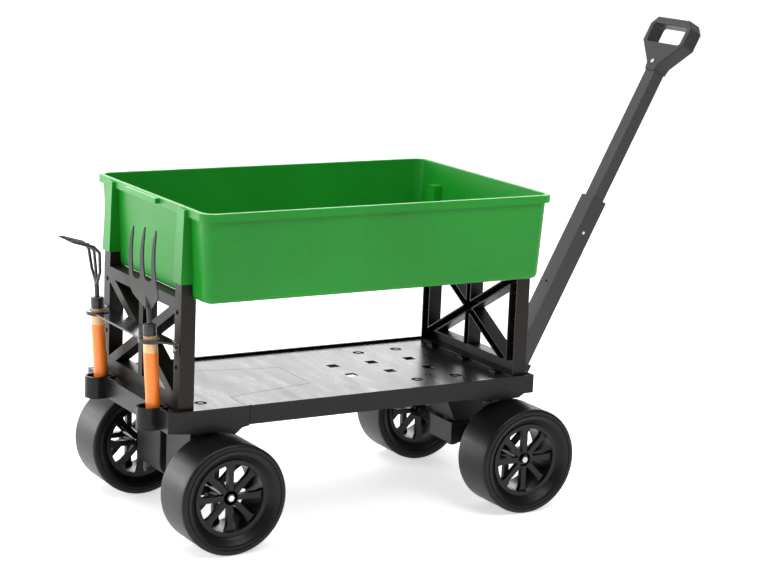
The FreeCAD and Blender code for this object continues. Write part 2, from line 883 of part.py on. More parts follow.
def make_panel(name, x, inward):
    # A panel is a channel section that opens towards the middle of the cart.
    if inward > 0:
        channel_x = (x[0] + size.panel_wall, x[1] + 1)
        rib_x = (x[0] + 1, x[1] - 8)
        tab_x = (x[1] - 4, x[1] + size.foot_tab_reach)
        keyhole_x = x[0] - 1
    else:
        channel_x = (x[0] - 1, x[1] - size.panel_wall)
        rib_x = (x[0] + 8, x[1] - 1)
        tab_x = (x[0] - size.foot_tab_reach, x[0] + 4)
        keyhole_x = x[1] - size.panel_wall - 1
    solid = join(f"{name}_solid", panel_bars(f"{name}_bars", x, as_formula(0)))
    channel = join(f"{name}_channel", panel_bars(f"{name}_hollow", channel_x, size.panel_wall))
    shell = remove(f"{name}_shell", solid, [channel])
    tabs = []
    for index, place_y in enumerate((-1, 0, 1)):
        tabs.append(block(f"{name}_tab_{index}", tab_x, around(place_y * size.panel_screw_y, 12),
                          (deck_surface, deck_surface + size.foot_tab_height)))
    tenons = [tenon(f"{name}_tenon_{side + 1}", x, side, as_formula(0)) for side in (-1, 1)]
    whole = join(f"{name}_whole", [shell] + panel_ribs(name, rib_x) + tabs + tenons)
    cuts = panel_screw_holes(name.replace("_panel", ""), deck_surface - 1, deck_surface + size.foot_tab_height + 1)
    keyhole_y = size.post_outer_y - size.post_width / 2 - 3
    for index, drop in enumerate((28, 139)):
        for side in (-1, 1):
            spot = (keyhole_x, side * keyhole_y, panel_top - drop)
            cuts.append(rod(f"{name}_keyhole_{index}_{side + 1}", "x", spot, size.keyhole_radius, size.panel_wall + 2))
    finish(remove(f"{name}_panel_cut", whole, cuts), name)


# Tool rack ----------------------------------------------------------

rack_z = (rack_height - size.rack_plate / 2, rack_height + size.rack_plate / 2)
rack_tab_y = size.post_outer_y - size.post_width / 2


def make_tool_rack():
    edge_x = rear_panel_x[0]
    body = new_body("tool_rack_plate")
    sketch = new_sketch(body, "tool_rack_outline", "XY_Plane", rack_z[0])
    tip_x = edge_x - size.rack_reach
    tab_outer = rack_tab_y + 13
    ring_side = size.tool_y + rack_ring_radius * 0.7
    front_y = size.tool_y - rack_ring_radius * 0.6
    outline(sketch, [
        (edge_x, -tab_outer),
        (edge_x, tab_outer),
        (edge_x - 12, tab_outer),
        (rack_ring_x, ring_side),
        (tip_x, front_y),
        (tip_x, -front_y),
        (rack_ring_x, -ring_side),
        (edge_x - 12, -tab_outer),
    ])
    pad(body, "tool_rack_pad", sketch, size.rack_plate)
    added = []
    cuts = []
    for side in (-1, 1):
        spot = (rack_ring_x, side * size.tool_y)
        added += upright_rods(f"rack_ring_{side + 1}", [spot], rack_z[0] - 2, rack_z[1] + 2, rack_ring_radius)
        cuts += upright_rods(f"rack_hole_{side + 1}", [spot], rack_z[0] - 5, rack_z[1] + 5, rack_hole_radius)
        added.append(block(f"rack_tab_{side + 1}", (edge_x - 4, edge_x), around(side * rack_tab_y, 12),
                           (rack_height - 23, rack_height + 4)))
        cuts.append(rod(f"rack_screw_hole_{side + 1}", "x", (edge_x - 6, side * rack_tab_y, rack_height - 12),
                        as_formula(2.2), as_formula(8)))
    solid = join("tool_rack_solid", [body] + added)
    finish(remove("tool_rack_cut", solid, cuts), "tool_rack")
    screws = []
    for side in (-1, 1):
        seat = edge_x - 4
        z = rack_height - 12
        head = rod(f"rack_screw_head_{side + 1}", "x", (seat - 3, side * rack_tab_y, z), as_formula(4.5), as_formula(3))
        shank = rod(f"rack_screw_shank_{side + 1}", "x", (seat, side * rack_tab_y, z), as_formula(2), as_formula(3.8))
        screws.append(join(f"rack_screw_{side + 1}", [head, shank]))
    finish(group("rack_screw_group", screws), "rack_screws")


# Axles and their supports -------------------------------------------

axle_tube_end = size.wheel_center_y - size.hub_inner - size.bush_flange - size.side_gap - size.washer_thickness
outer_washer_y = size.wheel_center_y + size.hub_outer + size.bush_flange + size.side_gap
nut_y = outer_washer_y + size.washer_thickness
axle_end_y = nut_y + size.nut_height + 1


def ring(name, axis, start, outer, inner, length):
    base = rod(f"{name}_outer", axis, start, outer, length)
    hole = rod(f"{name}_inner", axis, start, inner, length)
    return remove(name, base, [hole])


def make_axle(name, x):
    shaft = rod(f"{name}_rod", "y", (x, -axle_end_y, size.wheel_radius), size.axle_radius, 2 * axle_end_y)
    finish(group(f"{name}_solid", [shaft]), name)
    washers = []
    nuts = []
    for side in (-1, 1):
        for spot_name, y in (("inner", axle_tube_end), ("outer", outer_washer_y)):
            start_y = y if side > 0 else -y - size.washer_thickness
            washers.append(ring(f"{name}_washer_{spot_name}_{side + 1}", "y", (x, start_y, size.wheel_radius),
                                size.washer_radius, size.axle_radius, size.washer_thickness))
        start_y = nut_y if side > 0 else -nut_y - size.nut_height
        nut = hexagon(f"{name}_nut_blank_{side + 1}", "y", (x, start_y, size.wheel_radius),
                      size.nut_radius, size.nut_height)
        hole = rod(f"{name}_nut_hole_{side + 1}", "y", (x, start_y - 1, size.wheel_radius),
                   size.axle_radius, size.nut_height + 2)
        nuts.append(remove(f"{name}_nut_{side + 1}", nut, [hole]))
    finish(group(f"{name}_washer_group", washers), f"{name}_washers")
    finish(group(f"{name}_nut_group", nuts), f"{name}_nuts")


def make_rear_bracket(label, side):
    body = new_body(f"{label}_body")
    sketch = new_sketch(body, f"{label}_outline", "XZ_Plane", 0)
    left = rear_axle_x - size.bracket_radius
    right = rear_axle_x + size.bracket_radius
    outline(sketch, [
        (left, size.wheel_radius),
        (rear_axle_x, size.wheel_radius - size.bracket_radius, size.bracket_radius),
        (right, size.wheel_radius, size.bracket_radius),
        (right, flange_bottom),
        (rear_axle_x + size.flange_reach, flange_bottom),
        (rear_axle_x + size.flange_reach, rail_bottom),
        (rear_axle_x - size.flange_reach, rail_bottom),
        (rear_axle_x - size.flange_reach, flange_bottom),
        (left, flange_bottom),
    ])
    pad(body, f"{label}_pad", sketch, size.bracket_outer_y - size.bracket_inner_y)
    fillet_where(body, f"{label}_fillet", 3, lambda edge: is_along(edge, "z") or is_round(edge, size.bracket_radius.number))
    side_y = -size.bracket_inner_y if side < 0 else size.bracket_outer_y
    bind(body, "Placement.Base.y", side_y)
    y = both_ways(size.flange_half_width)
    y = (-y[1], -size.bracket_outer_y + 5) if side < 0 else (size.bracket_outer_y - 5, y[1])
    flange = block(f"{label}_flange", around(rear_axle_x, size.flange_reach), y, (flange_bottom, rail_bottom))
    solid = join(f"{label}_solid", [body, flange])
    cuts = [rod(f"{label}_tube_hole", "y", (rear_axle_x, -size.flange_half_width, size.wheel_radius),
                size.axle_tube_radius, 2 * size.flange_half_width)]
    spots = [(x, side * bolt_y) for x, bolt_y in mount_bolt_spots[:2]]
    cuts += mount_bolt_holes(label, spots, flange_bottom - 1, rail_bottom + 1)
    finish(remove(f"{label}_cut", solid, cuts), label)


def is_along(edge, axis):
    if len(edge.Vertexes) != 2 or edge.Curve.TypeId != "Part::GeomLine":
        return False
    step = edge.Vertexes[1].Point - edge.Vertexes[0].Point
    lengths = {"x": step.x, "y": step.y, "z": step.z}
    return abs(abs(lengths[axis]) - step.Length) < 1e-6


def is_round(edge, radius):
    return edge.Curve.TypeId == "Part::GeomCircle" and abs(edge.Curve.Radius - radius) < 1e-3


def make_rear_axle_tube():
    tube = ring("rear_tube", "y", (rear_axle_x, -axle_tube_end, size.wheel_radius),
                size.axle_tube_radius, size.axle_radius, 2 * axle_tube_end)
    finish(tube, "rear_axle_tube")


def make_mount_bolts():
    for label, spots in (("bracket_bolts", mount_bolt_spots[:2]), ("bolster_bolts", mount_bolt_spots[2:])):
        bolts = []
        for index, (x, y) in enumerate(mirrored(spots)):
            head = hexagon(f"{label}_head_{index}", "z", (x, y, flange_bottom - 4), size.mount_bolt_head_radius,
                           as_formula(4))
            shank = rod(f"{label}_shank_{index}", "z", (x, y, flange_bottom), size.mount_bolt_radius, as_formula(14))
            nut = hexagon(f"{label}_nut_{index}", "z", (x, y, rail_bottom + size.rail_wall),
                          size.mount_bolt_head_radius, as_formula(5))
            bolts.append(join(f"{label}_{index}", [head, shank, nut]))
        finish(group(f"{label}_group", bolts), label)


def make_front_bolster():
    body = new_body("bolster_body")
    sketch = new_sketch(body, "bolster_outline", "XZ_Plane")
    outline(sketch, [
        (bolster_x[0] + size.bolster_rear_slope, bolster_bottom),
        (bolster_x[1] - size.bolster_front_slope, bolster_bottom),
        (bolster_x[1], flange_bottom),
        (bolster_x[1], rail_bottom),
        (bolster_x[0], rail_bottom),
        (bolster_x[0], flange_bottom),
    ])
    pad(body, "bolster_pad", sketch, 2 * size.bolster_half_width, symmetric=True)
    flange = block("bolster_flange", bolster_flange_x, both_ways(size.flange_half_width),
                   (flange_bottom, rail_bottom))
    solid = join("bolster_solid", [body, flange])
    cuts = [rod("bolster_bore", "z", (kingpin_x, 0, bolster_bottom - 1), size.kingpin_radius, 120)]
    cuts += mount_bolt_holes("bolster", mirrored(mount_bolt_spots[2:]), flange_bottom - 1, rail_bottom + 1)
    finish(remove("bolster_cut", solid, cuts), "front_bolster")


carrier_top = carrier_bottom + size.carrier_height
kingpin_nut_top = carrier_bottom - size.side_gap


def make_kingpin():
    low = kingpin_nut_top - 16
    shank = rod("kingpin_shank", "z", (kingpin_x, 0, low), size.kingpin_radius, rail_bottom - low)
    head = hexagon("kingpin_head", "z", (kingpin_x, 0, rail_bottom), size.kingpin_radius + 6, as_formula(9))
    finish(join("kingpin_solid", [shank, head]), "kingpin")
    nut = hexagon("kingpin_nut_blank", "z", (kingpin_x, 0, kingpin_nut_top - 13), size.kingpin_radius + 6,
                  as_formula(13))
    hole = rod("kingpin_nut_hole", "z", (kingpin_x, 0, kingpin_nut_top - 14), size.kingpin_radius, as_formula(16))
    finish(remove("kingpin_nut_solid", nut, [hole]), "kingpin_nut")


def make_axle_carrier():
    carrier_x = (front_axle_x - size.carrier_rear_reach, front_axle_x + size.carrier_front_reach)
    main = block("carrier_block", carrier_x, both_ways(size.bolster_half_width), (carrier_bottom, carrier_top))
    added = [rod("carrier_tube", "y", (front_axle_x, -axle_tube_end, size.wheel_radius),
                 size.axle_tube_radius, 2 * axle_tube_end)]
    lug_inner = size.tow_eye_half_width + size.tow_lug_gap
    for side in (-1, 1):
        y = (lug_inner, lug_inner + size.tow_lug_width)
        y = y if side > 0 else (-y[1], -y[0])
        added.append(rod(f"carrier_lug_round_{side + 1}", "y", (tow_pivot_x, y[0], tow_pivot_z),
                         size.tow_eye_radius + 1, size.tow_lug_width))
        added.append(block(f"carrier_lug_{side + 1}", (carrier_x[1] - size.tow_lug_root, tow_pivot_x), y,
                           (tow_pivot_z - size.tow_lug_drop, tow_pivot_z)))
        arm_inner = size.bolster_half_width - 1
        arm_outer = size.bolster_half_width + size.carrier_arm_length
        added.append(block(f"carrier_arm_{side + 1}", around(front_axle_x, size.carrier_arm_half_width),
                           (arm_inner, arm_outer) if side > 0 else (-arm_outer, -arm_inner),
                           (carrier_bottom, size.wheel_radius + size.carrier_arm_rise)))
    solid = join("carrier_solid", [main] + added)
    cuts = [
        rod("carrier_axle_bore", "y", (front_axle_x, -axle_tube_end - 1, size.wheel_radius), size.axle_radius,
            2 * axle_tube_end + 2),
        rod("carrier_king_bore", "z", (kingpin_x, 0, carrier_bottom - 1),
            size.kingpin_radius + size.running_gap, size.carrier_height + 2),
        rod("carrier_lug_bore", "y", (tow_pivot_x, -50, tow_pivot_z), size.tow_bolt_radius, 100),
    ]
    finish(remove("carrier_cut", solid, cuts), "axle_carrier")
    washer = ring("thrust_ring", "z", (kingpin_x, 0, carrier_top), size.kingpin_radius + 12,
                  size.kingpin_radius + size.running_gap, bolster_bottom - size.side_gap - carrier_top)
    finish(washer, "thrust_washer")


def make_tow_pivot():
    lug_outer = size.tow_eye_half_width + size.tow_lug_gap + size.tow_lug_width
    spot = (tow_pivot_x, -lug_outer - 5, tow_pivot_z)
    head = hexagon("tow_bolt_head", "y", spot, size.tow_bolt_radius + 4, as_formula(5))
    shank = rod("tow_bolt_shank", "y", (tow_pivot_x, -lug_outer, tow_pivot_z), size.tow_bolt_radius,
                2 * lug_outer + 10)
    finish(join("tow_bolt_solid", [head, shank]), "tow_pivot_bolt")
    nut = hexagon("tow_nut_blank", "y", (tow_pivot_x, lug_outer, tow_pivot_z), size.tow_bolt_radius + 4,
                  as_formula(8))
    hole = rod("tow_nut_hole", "y", (tow_pivot_x, lug_outer - 1, tow_pivot_z), size.tow_bolt_radius,
               as_formula(12))
    finish(remove("tow_nut_solid", nut, [hole]), "tow_pivot_nut")


# Wheels -------------------------------------------------------------

def turn_to_axle(item, side):
    # A wheel piece is modelled with its axis along Z and its outer face up.
    angle = 90 if side < 0 else -90
    item.Placement = FreeCAD.Placement(FreeCAD.Vector(), FreeCAD.Rotation(FreeCAD.Vector(1, 0, 0), angle))


def set_wheel_place(item, label, x, side):
    item.Label = label
    turn_to_axle(item, side)
    place(item, x + size.deck_center_x, side * size.wheel_center_y, size.wheel_radius)
    nodes[label] = item


def tyre_half(sign):
    # One side of the tyre's section, from the bead out to the tread.
    half = size.wheel_width / 2
    bead_z = half - size.bowl_depth
    radius = size.wheel_radius
    return [
        (size.rim_radius, sign * bead_z),
        (size.rim_radius + 4, sign * bead_z),
        (radius - 17, sign * (half - 2), sign * as_formula(30)),
        (radius - 16, sign * half),
        (radius - 12, sign * half),
        (radius - 11.5, sign * (half - 1.5)),
        (radius - 10.5, sign * (half - 1.5)),
        (radius - 10, sign * half),
        (radius - size.tyre_shoulder, sign * half),
        (radius, sign * (half - size.tyre_shoulder), -sign * size.tyre_shoulder),
    ]


def make_tyre(label, x, side):
    body = new_body(f"{label}_body")
    sketch = new_sketch(body, f"{label}_section", "XZ_Plane")
    upper = tyre_half(1)
    lower = []
    half_points = tyre_half(-1)
    for index in range(len(half_points) - 1, -1, -1):
        point = half_points[index][:2]
        following = half_points[index + 1] if index + 1 < len(half_points) else ()
        if len(following) == 3:
            point = (*point, -following[2])
        lower.append(point)
    outline(sketch, upper + lower)
    revolve(body, f"{label}_turned", sketch)
    set_wheel_place(body, label, x, side)


def make_rim(label, x, side):
    body = new_body(f"{label}_body")
    bead_z = size.wheel_width / 2 - size.bowl_depth
    inner = size.rim_radius - size.rim_wall
    barrel = new_sketch(body, f"{label}_barrel_section", "XZ_Plane")
    outline(barrel, [
        (inner, -bead_z - 2.5),
        (size.rim_radius + 3, -bead_z - 2.5),
        (size.rim_radius + 3, -bead_z),
        (size.rim_radius, -bead_z),
        (size.rim_radius, bead_z),
        (size.rim_radius + 3, bead_z),
        (size.rim_radius + 3, bead_z + 2.5),
        (inner, bead_z + 2.5),
    ])
    revolve(body, f"{label}_barrel", barrel)
    for name, start, depth in (("outer", size.hub_outer, size.spoke_depth), ("inner", -size.hub_inner + 8, size.spoke_depth - 2)):
        sketch = new_sketch(body, f"{label}_{name}_spoke_outline", "XY_Plane", start)
        half = size.spoke_width / 2
        outline(sketch, [
            (3, -half),
            (inner - 12, -half),
            (inner + 1, -half - 4),
            (inner + 1, half + 4),
            (inner - 12, half),
            (3, half),
        ])
        spoke = pad(body, f"{label}_{name}_spoke", sketch, depth)
        spin_copies(body, f"{label}_{name}_spokes", spoke, sketch, 8)
    hub = new_sketch(body, f"{label}_hub_outline", "XY_Plane", -size.hub_inner)
    circle(hub, 0, 0, size.hub_radius)
    pad(body, f"{label}_hub", hub, size.hub_inner + size.hub_outer + 1)
    bore = new_sketch(body, f"{label}_bore_outline", "XY_Plane", -size.hub_inner - 1)
    circle(bore, 0, 0, size.bush_radius)
    pocket(body, f"{label}_bore", bore, size.wheel_width, reverse=True)
    face = new_sketch(body, f"{label}_face_outline", "XY_Plane", size.hub_outer)
    circle(face, 0, 0, size.bush_flange_radius + 1)
    pocket(body, f"{label}_face", face, size.spoke_depth + 2, reverse=True)
    set_wheel_place(body, label, x, side)


def make_bushes(label, x, side):
    bushes = []
    bore = size.axle_radius + size.running_gap
    for name, flange_z, sleeve_z in (
        ("outer", size.hub_outer, size.hub_outer - size.bush_length),
        ("inner", -size.hub_inner - size.bush_flange, -size.hub_inner),
    ):
        sleeve = rod(f"{label}_{name}_sleeve", "z", (0, 0, sleeve_z), size.bush_radius, size.bush_length)
        flange = rod(f"{label}_{name}_flange", "z", (0, 0, flange_z), size.bush_flange_radius, size.bush_flange)
        hole = rod(f"{label}_{name}_hole", "z", (0, 0, -size.wheel_width), bore, 2 * size.wheel_width)
        bushes.append(remove(f"{label}_{name}", join(f"{label}_{name}_blank", [sleeve, flange]), [hole]))
    set_wheel_place(group(f"{label}_group", bushes), label, x, side)


def make_wheels():
    for end, x in (("rear", rear_axle_x), ("front", front_axle_x)):
        for side_name, side in (("right", -1), ("left", 1)):
            make_tyre(f"{end}_{side_name}_tyre", x, side)
            make_rim(f"{end}_{side_name}_rim", x, side)
            make_bushes(f"{end}_{side_name}_bushes", x, side)


# Tub ----------------------------------------------------------------

def inset_pair(pair, inset):
    return (pair[0] + inset, pair[1] - inset)


def tub_section(body, name, height, inset, radius):
    sketch = new_sketch(body, name, "XY_Plane", height)
    y = both_ways(size.tub_half_width)
    return rounded_rectangle(sketch, inset_pair(tub_x, inset), inset_pair(y, inset), radius)


tub_lip_bottom = tub_top - size.lip_height


def wall_inset(height):
    # How far the tub's outer wall stands inside its lip at a height.
    slope = (size.tub_wall_inset_bottom - size.tub_wall_inset_top) / (tub_lip_bottom - tub_bottom)
    return size.tub_wall_inset_bottom - slope * (as_formula(height) - tub_bottom)


def tub_loft(body, name, bottom, top, wall, round_size, subtract=False):
    # A tapered basin with a rounded bottom edge; wall is how far it stands inside the outer face.
    low_radius = size.tub_corner_radius - 6 - wall
    high_radius = size.tub_corner_radius - 3 - wall
    sections = []
    for index, (rise, inset) in enumerate(((0.0, 1.0), (0.3, 0.3), (1.0, 0.0))):
        height = bottom + round_size * rise
        extra = round_size * inset
        sections.append(tub_section(body, f"{name}_round_{index}", height, wall_inset(height) + wall + extra,
                                    low_radius - extra))
    sections.append(tub_section(body, f"{name}_high", top, wall_inset(top) + wall, high_radius))
    loft(body, name, sections, subtract)


def make_tub_shell():
    body = new_body("tub_shell")
    lip = tub_section(body, "tub_lip_outline", tub_lip_bottom, as_formula(0), size.tub_corner_radius)
    pad(body, "tub_lip", lip, size.lip_height)
    under = new_sketch(body, "tub_lip_under", "XY_Plane", tub_lip_bottom - 1)
    y = both_ways(size.tub_half_width)
    rounded_rectangle(under, inset_pair(tub_x, size.lip_wall), inset_pair(y, size.lip_wall),
                      size.tub_corner_radius - size.lip_wall)
    middle = size.tub_wall_inset_top + size.tub_wall / 2
    rounded_rectangle(under, inset_pair(tub_x, middle), inset_pair(y, middle), size.tub_corner_radius - middle)
    pocket(body, "tub_lip_groove", under, size.lip_height - size.lip_wall + 1, reverse=True)
    tub_loft(body, "tub_outer", tub_bottom, tub_top - 2, as_formula(0), size.tub_bottom_fillet)
    tub_loft(body, "tub_inner", tub_bottom + size.tub_floor, tub_top + 1, size.tub_wall,
             size.tub_bottom_fillet - size.tub_wall, subtract=True)
    fillet_where(body, "tub_lip_round", 1.5,
                 lambda edge: edge.BoundBox.ZMin > tub_top.number - 1e-3)
    return body


def tub_end_faces(end, height):
    # The wall's outer face at one end of the tub
    inset = wall_inset(height)
    return tub_x[0] + inset if end == "rear" else tub_x[1] - inset


def wall_middle(end, height):
    half_wall = size.tub_wall / 2
    face = tub_end_faces(end, height)
    return face + half_wall if end == "rear" else face - half_wall


def ordered(first, second, end):
    return (first, second) if end == "rear" else (second, first)


def socket_parts(end, panel_x, side):
    # The boss outside the wall and the bulge inside it that wrap one post.
    margin = size.socket_gap + size.socket_wall
    outer_x = panel_x[0] - margin if end == "rear" else panel_x[1] + margin
    inner_x = panel_x[1] + margin if end == "rear" else panel_x[0] - margin
    outward = -1 if end == "rear" else 1
    y = (post_inner_y - margin, size.post_outer_y + margin)
    y = y if side > 0 else (-y[1], -y[0])
    top_y = (y[0] + size.tenon_inset, y[1] - size.tenon_inset)
    tag = f"{end}_{side + 1}"
    boss_top = tub_top - size.lip_wall
    boss = taper(
        f"socket_boss_{tag}", socket_bottom, boss_top,
        (ordered(outer_x, wall_middle(end, socket_bottom), end), y),
        (ordered(outer_x - outward * 5, wall_middle(end, boss_top), end), top_y),
    )
    bulge = taper(
        f"socket_bulge_{tag}", tub_bottom, socket_bulge_top,
        (ordered(wall_middle(end, tub_bottom), inner_x, end), y),
        (ordered(wall_middle(end, socket_bulge_top), inner_x + outward * size.tenon_inset, end), top_y),
    )
    return boss, bulge


def socket_cuts(end, panel_x, side):
    # The room for a post: a tapered socket, and below it a notch open outwards.
    tag = f"{end}_{side + 1}"
    gap = size.socket_gap
    y = (post_inner_y - gap, size.post_outer_y + gap)
    y = y if side > 0 else (-y[1], -y[0])
    notch_x = (panel_x[0] - 20, panel_x[1] + gap) if end == "rear" else (panel_x[0] - gap, panel_x[1] + 20)
    notch = block(f"socket_notch_{tag}", notch_x, y, (tub_bottom - 1, socket_bottom))
    inset = size.tenon_inset
    low_x = (panel_x[0] - gap, panel_x[1] + gap)
    cut = taper(f"socket_hole_{tag}", panel_top, tenon_top + gap,
                (low_x, y), (inset_pair(low_x, inset), inset_pair(y, inset)))
    return [notch, cut]


def make_tub():
    shell = make_tub_shell()
    added = []
    cuts = []
    for end, panel_x in (("rear", rear_panel_x), ("front", front_panel_x)):
        for side in (-1, 1):
            added += socket_parts(end, panel_x, side)
            cuts += socket_cuts(end, panel_x, side)
    added.append(block("grip_lip", (tub_x[0] - size.grip_lip_reach, tub_x[0] + 2),
                       (size.grip_lip_rear_y, size.grip_lip_front_y), (tub_top - 11.5, tub_top - 1)))
    finish(remove("tub_cut", join("tub_joined", [shell] + added), cuts), "tub")


# Tow handle, modelled upright on its pivot --------------------------

def finish_tow(item, label):
    return tilt_into_place(item, label, tow_pivot_x, 0, tow_pivot_z, size.tow_tilt)


def sleeve(name, outer, inner, low, high):
    # A rectangular tube; outer and inner are pairs of depth along X and width along Y.
    base = block(f"{name}_outer", both_ways(outer[0] / 2), both_ways(outer[1] / 2), (low, high))
    hole = block(f"{name}_inner", both_ways(inner[0] / 2), both_ways(inner[1] / 2), (low - 1, high + 1))
    return base, hole


inner_depth = size.inner_tube_depth
inner_width = size.inner_tube_width
bore_depth = inner_depth + 2 * (size.slide_gap + size.guide_wall_depth)
bore_width = inner_width + 2 * (size.slide_gap + size.guide_wall_width)
outer_depth = bore_depth + 2 * size.outer_tube_wall
outer_width = bore_width + 2 * size.outer_tube_wall
yoke_depth = outer_depth + 2 * size.yoke_wall
yoke_width = outer_width + 2 * size.yoke_wall
yoke_screw_heights = (size.yoke_start + 28, size.yoke_start + 52)


def make_yoke():
    body = new_body("yoke_body")
    sketch = new_sketch(body, "yoke_outline", "XZ_Plane")
    half_depth = yoke_depth / 2
    eye = size.tow_eye_radius
    outline(sketch, [
        (-eye, 0),
        (0, -eye, eye),
        (eye, 0, eye),
        (half_depth, size.yoke_start),
        (-half_depth, size.yoke_start),
    ])
    pad(body, "yoke_eye", sketch, 2 * size.tow_eye_half_width, symmetric=True)
    head = block("yoke_head", both_ways(half_depth), both_ways(yoke_width / 2),
                 (size.yoke_start - 6, size.yoke_end))
    cuts = [
        rod("yoke_bore", "y", (0, -50, 0), size.tow_bolt_radius + size.running_gap, 100),
        block("yoke_socket", both_ways(outer_depth / 2), both_ways(outer_width / 2),
              (size.outer_tube_start, size.yoke_end + 1)),
    ]
    for index, height in enumerate(yoke_screw_heights):
        cuts.append(rod(f"yoke_screw_hole_{index}", "y", (0, -50, height), as_formula(3.2), 100))
    finish_tow(remove("yoke_cut", join("yoke_solid", [body, head]), cuts), "tow_yoke")


def make_yoke_screws():
    screws = []
    for index, height in enumerate(yoke_screw_heights):
        start = -yoke_width / 2
        shank = rod(f"yoke_screw_shank_{index}", "y", (0, start, height), as_formula(3), yoke_width + 4)
        head = rod(f"yoke_screw_head_{index}", "y", (0, start - 3, height), as_formula(6), as_formula(3))
        nut = hexagon(f"yoke_screw_nut_{index}", "y", (0, -start, height), as_formula(6), as_formula(4))
        screws.append(join(f"yoke_screw_{index}", [shank, head, nut]))
    finish_tow(group("yoke_screw_group", screws), "yoke_screws")


def make_outer_tube():
    base, hole = sleeve("outer_tube", (outer_depth, outer_width), (bore_depth, bore_width),
                        size.outer_tube_start, size.outer_tube_end)
    cuts = [hole]
    for index, height in enumerate(yoke_screw_heights):
        cuts.append(rod(f"outer_tube_screw_hole_{index}", "y", (0, -50, height), as_formula(3.2), 100))
    groove_top = size.button_height + size.button_radius + 1.5
    cuts.append(block("outer_tube_groove", both_ways(size.button_radius + 1),
                      (-bore_width / 2 - size.outer_tube_wall / 2, as_formula(0)),
                      (size.button_height - 300, groove_top)))
    cuts.append(rod("outer_tube_window", "y", (0, -outer_width, size.button_height), size.button_radius + 0.5,
                    outer_width))
    cuts.append(rod("outer_tube_face_hole", "x", (-outer_depth, 0, size.button_height - 134),
                    as_formula(3), outer_depth))
    finish_tow(remove("outer_tube_cut", base, cuts), "tow_outer_tube")


def make_tube_guides():
    slide_depth = inner_depth + 2 * size.slide_gap
    slide_width = inner_width + 2 * size.slide_gap
    base, hole = sleeve("upper_guide", (bore_depth, bore_width), (slide_depth, slide_width),
                        size.outer_tube_end - size.guide_length, size.outer_tube_end)
    cap = block("upper_guide_cap", both_ways(outer_depth / 2), both_ways(outer_width / 2),
                (size.outer_tube_end, size.outer_tube_end + size.cap_height))
    cap_hole = block("upper_guide_cap_hole", both_ways(slide_depth / 2), both_ways(slide_width / 2),
                     (size.outer_tube_end - 1, size.outer_tube_end + size.cap_height + 1))
    finish_tow(remove("upper_guide_cut", join("upper_guide_solid", [base, cap]), [hole, cap_hole]),
               "tube_guide_upper")
    low = size.inner_tube_start
    base, hole = sleeve("lower_guide", (bore_depth - 2 * size.slide_gap, bore_width - 2 * size.slide_gap),
                        (inner_depth, inner_width), low, low + size.guide_length * 0.7)
    finish_tow(remove("lower_guide_cut", base, [hole]), "tube_guide_lower")


def make_inner_tube():
    top = size.grip_start + size.grip_socket
    wall = 2 * size.inner_tube_wall
    base, hole = sleeve("inner_tube", (inner_depth, inner_width), (inner_depth - wall, inner_width - wall),
                        size.inner_tube_start, top)
    cuts = [hole, rod("inner_tube_button_hole", "y", (0, -inner_width, size.button_height),
                      size.button_radius + size.running_gap, inner_width)]
    cuts.append(rod("inner_tube_grip_hole", "x", (-30, 0, size.grip_start + 20), as_formula(2.7), 60))
    finish_tow(remove("inner_tube_cut", base, cuts), "tow_inner_tube")


def make_lock_button():
    inner_face = -inner_width / 2 + size.inner_tube_wall
    stem = rod("button_stem", "y", (0, -inner_width / 2 - size.button_reach, size.button_height), size.button_radius,
               size.button_reach + size.inner_tube_wall + 0.5)
    flange = rod("button_flange", "y", (0, inner_face + 0.3, size.button_height), size.button_radius + 2.5, 2)
    finish_tow(join("button_solid", [stem, flange]), "lock_button")
    body = new_body("button_spring_body")
    sketch = new_sketch(body, "button_spring_outline", "YZ_Plane")
    near = inner_face + 2.3
    far = inner_width / 2 - size.inner_tube_wall
    low = size.button_height - 12
    outline(sketch, [
        (near, size.button_height - 5),
        (near + 1.2, size.button_height - 5),
        (near + 1.2, size.button_height + 5),
        (far - 1.2, size.button_height + 34),
        (far - 1.2, low),
        (far, low),
        (far, size.button_height + 38),
        (near, size.button_height + 6),
    ])
    pad(body, "button_spring_pad", sketch, as_formula(8), symmetric=True)
    finish_tow(body, "button_spring")


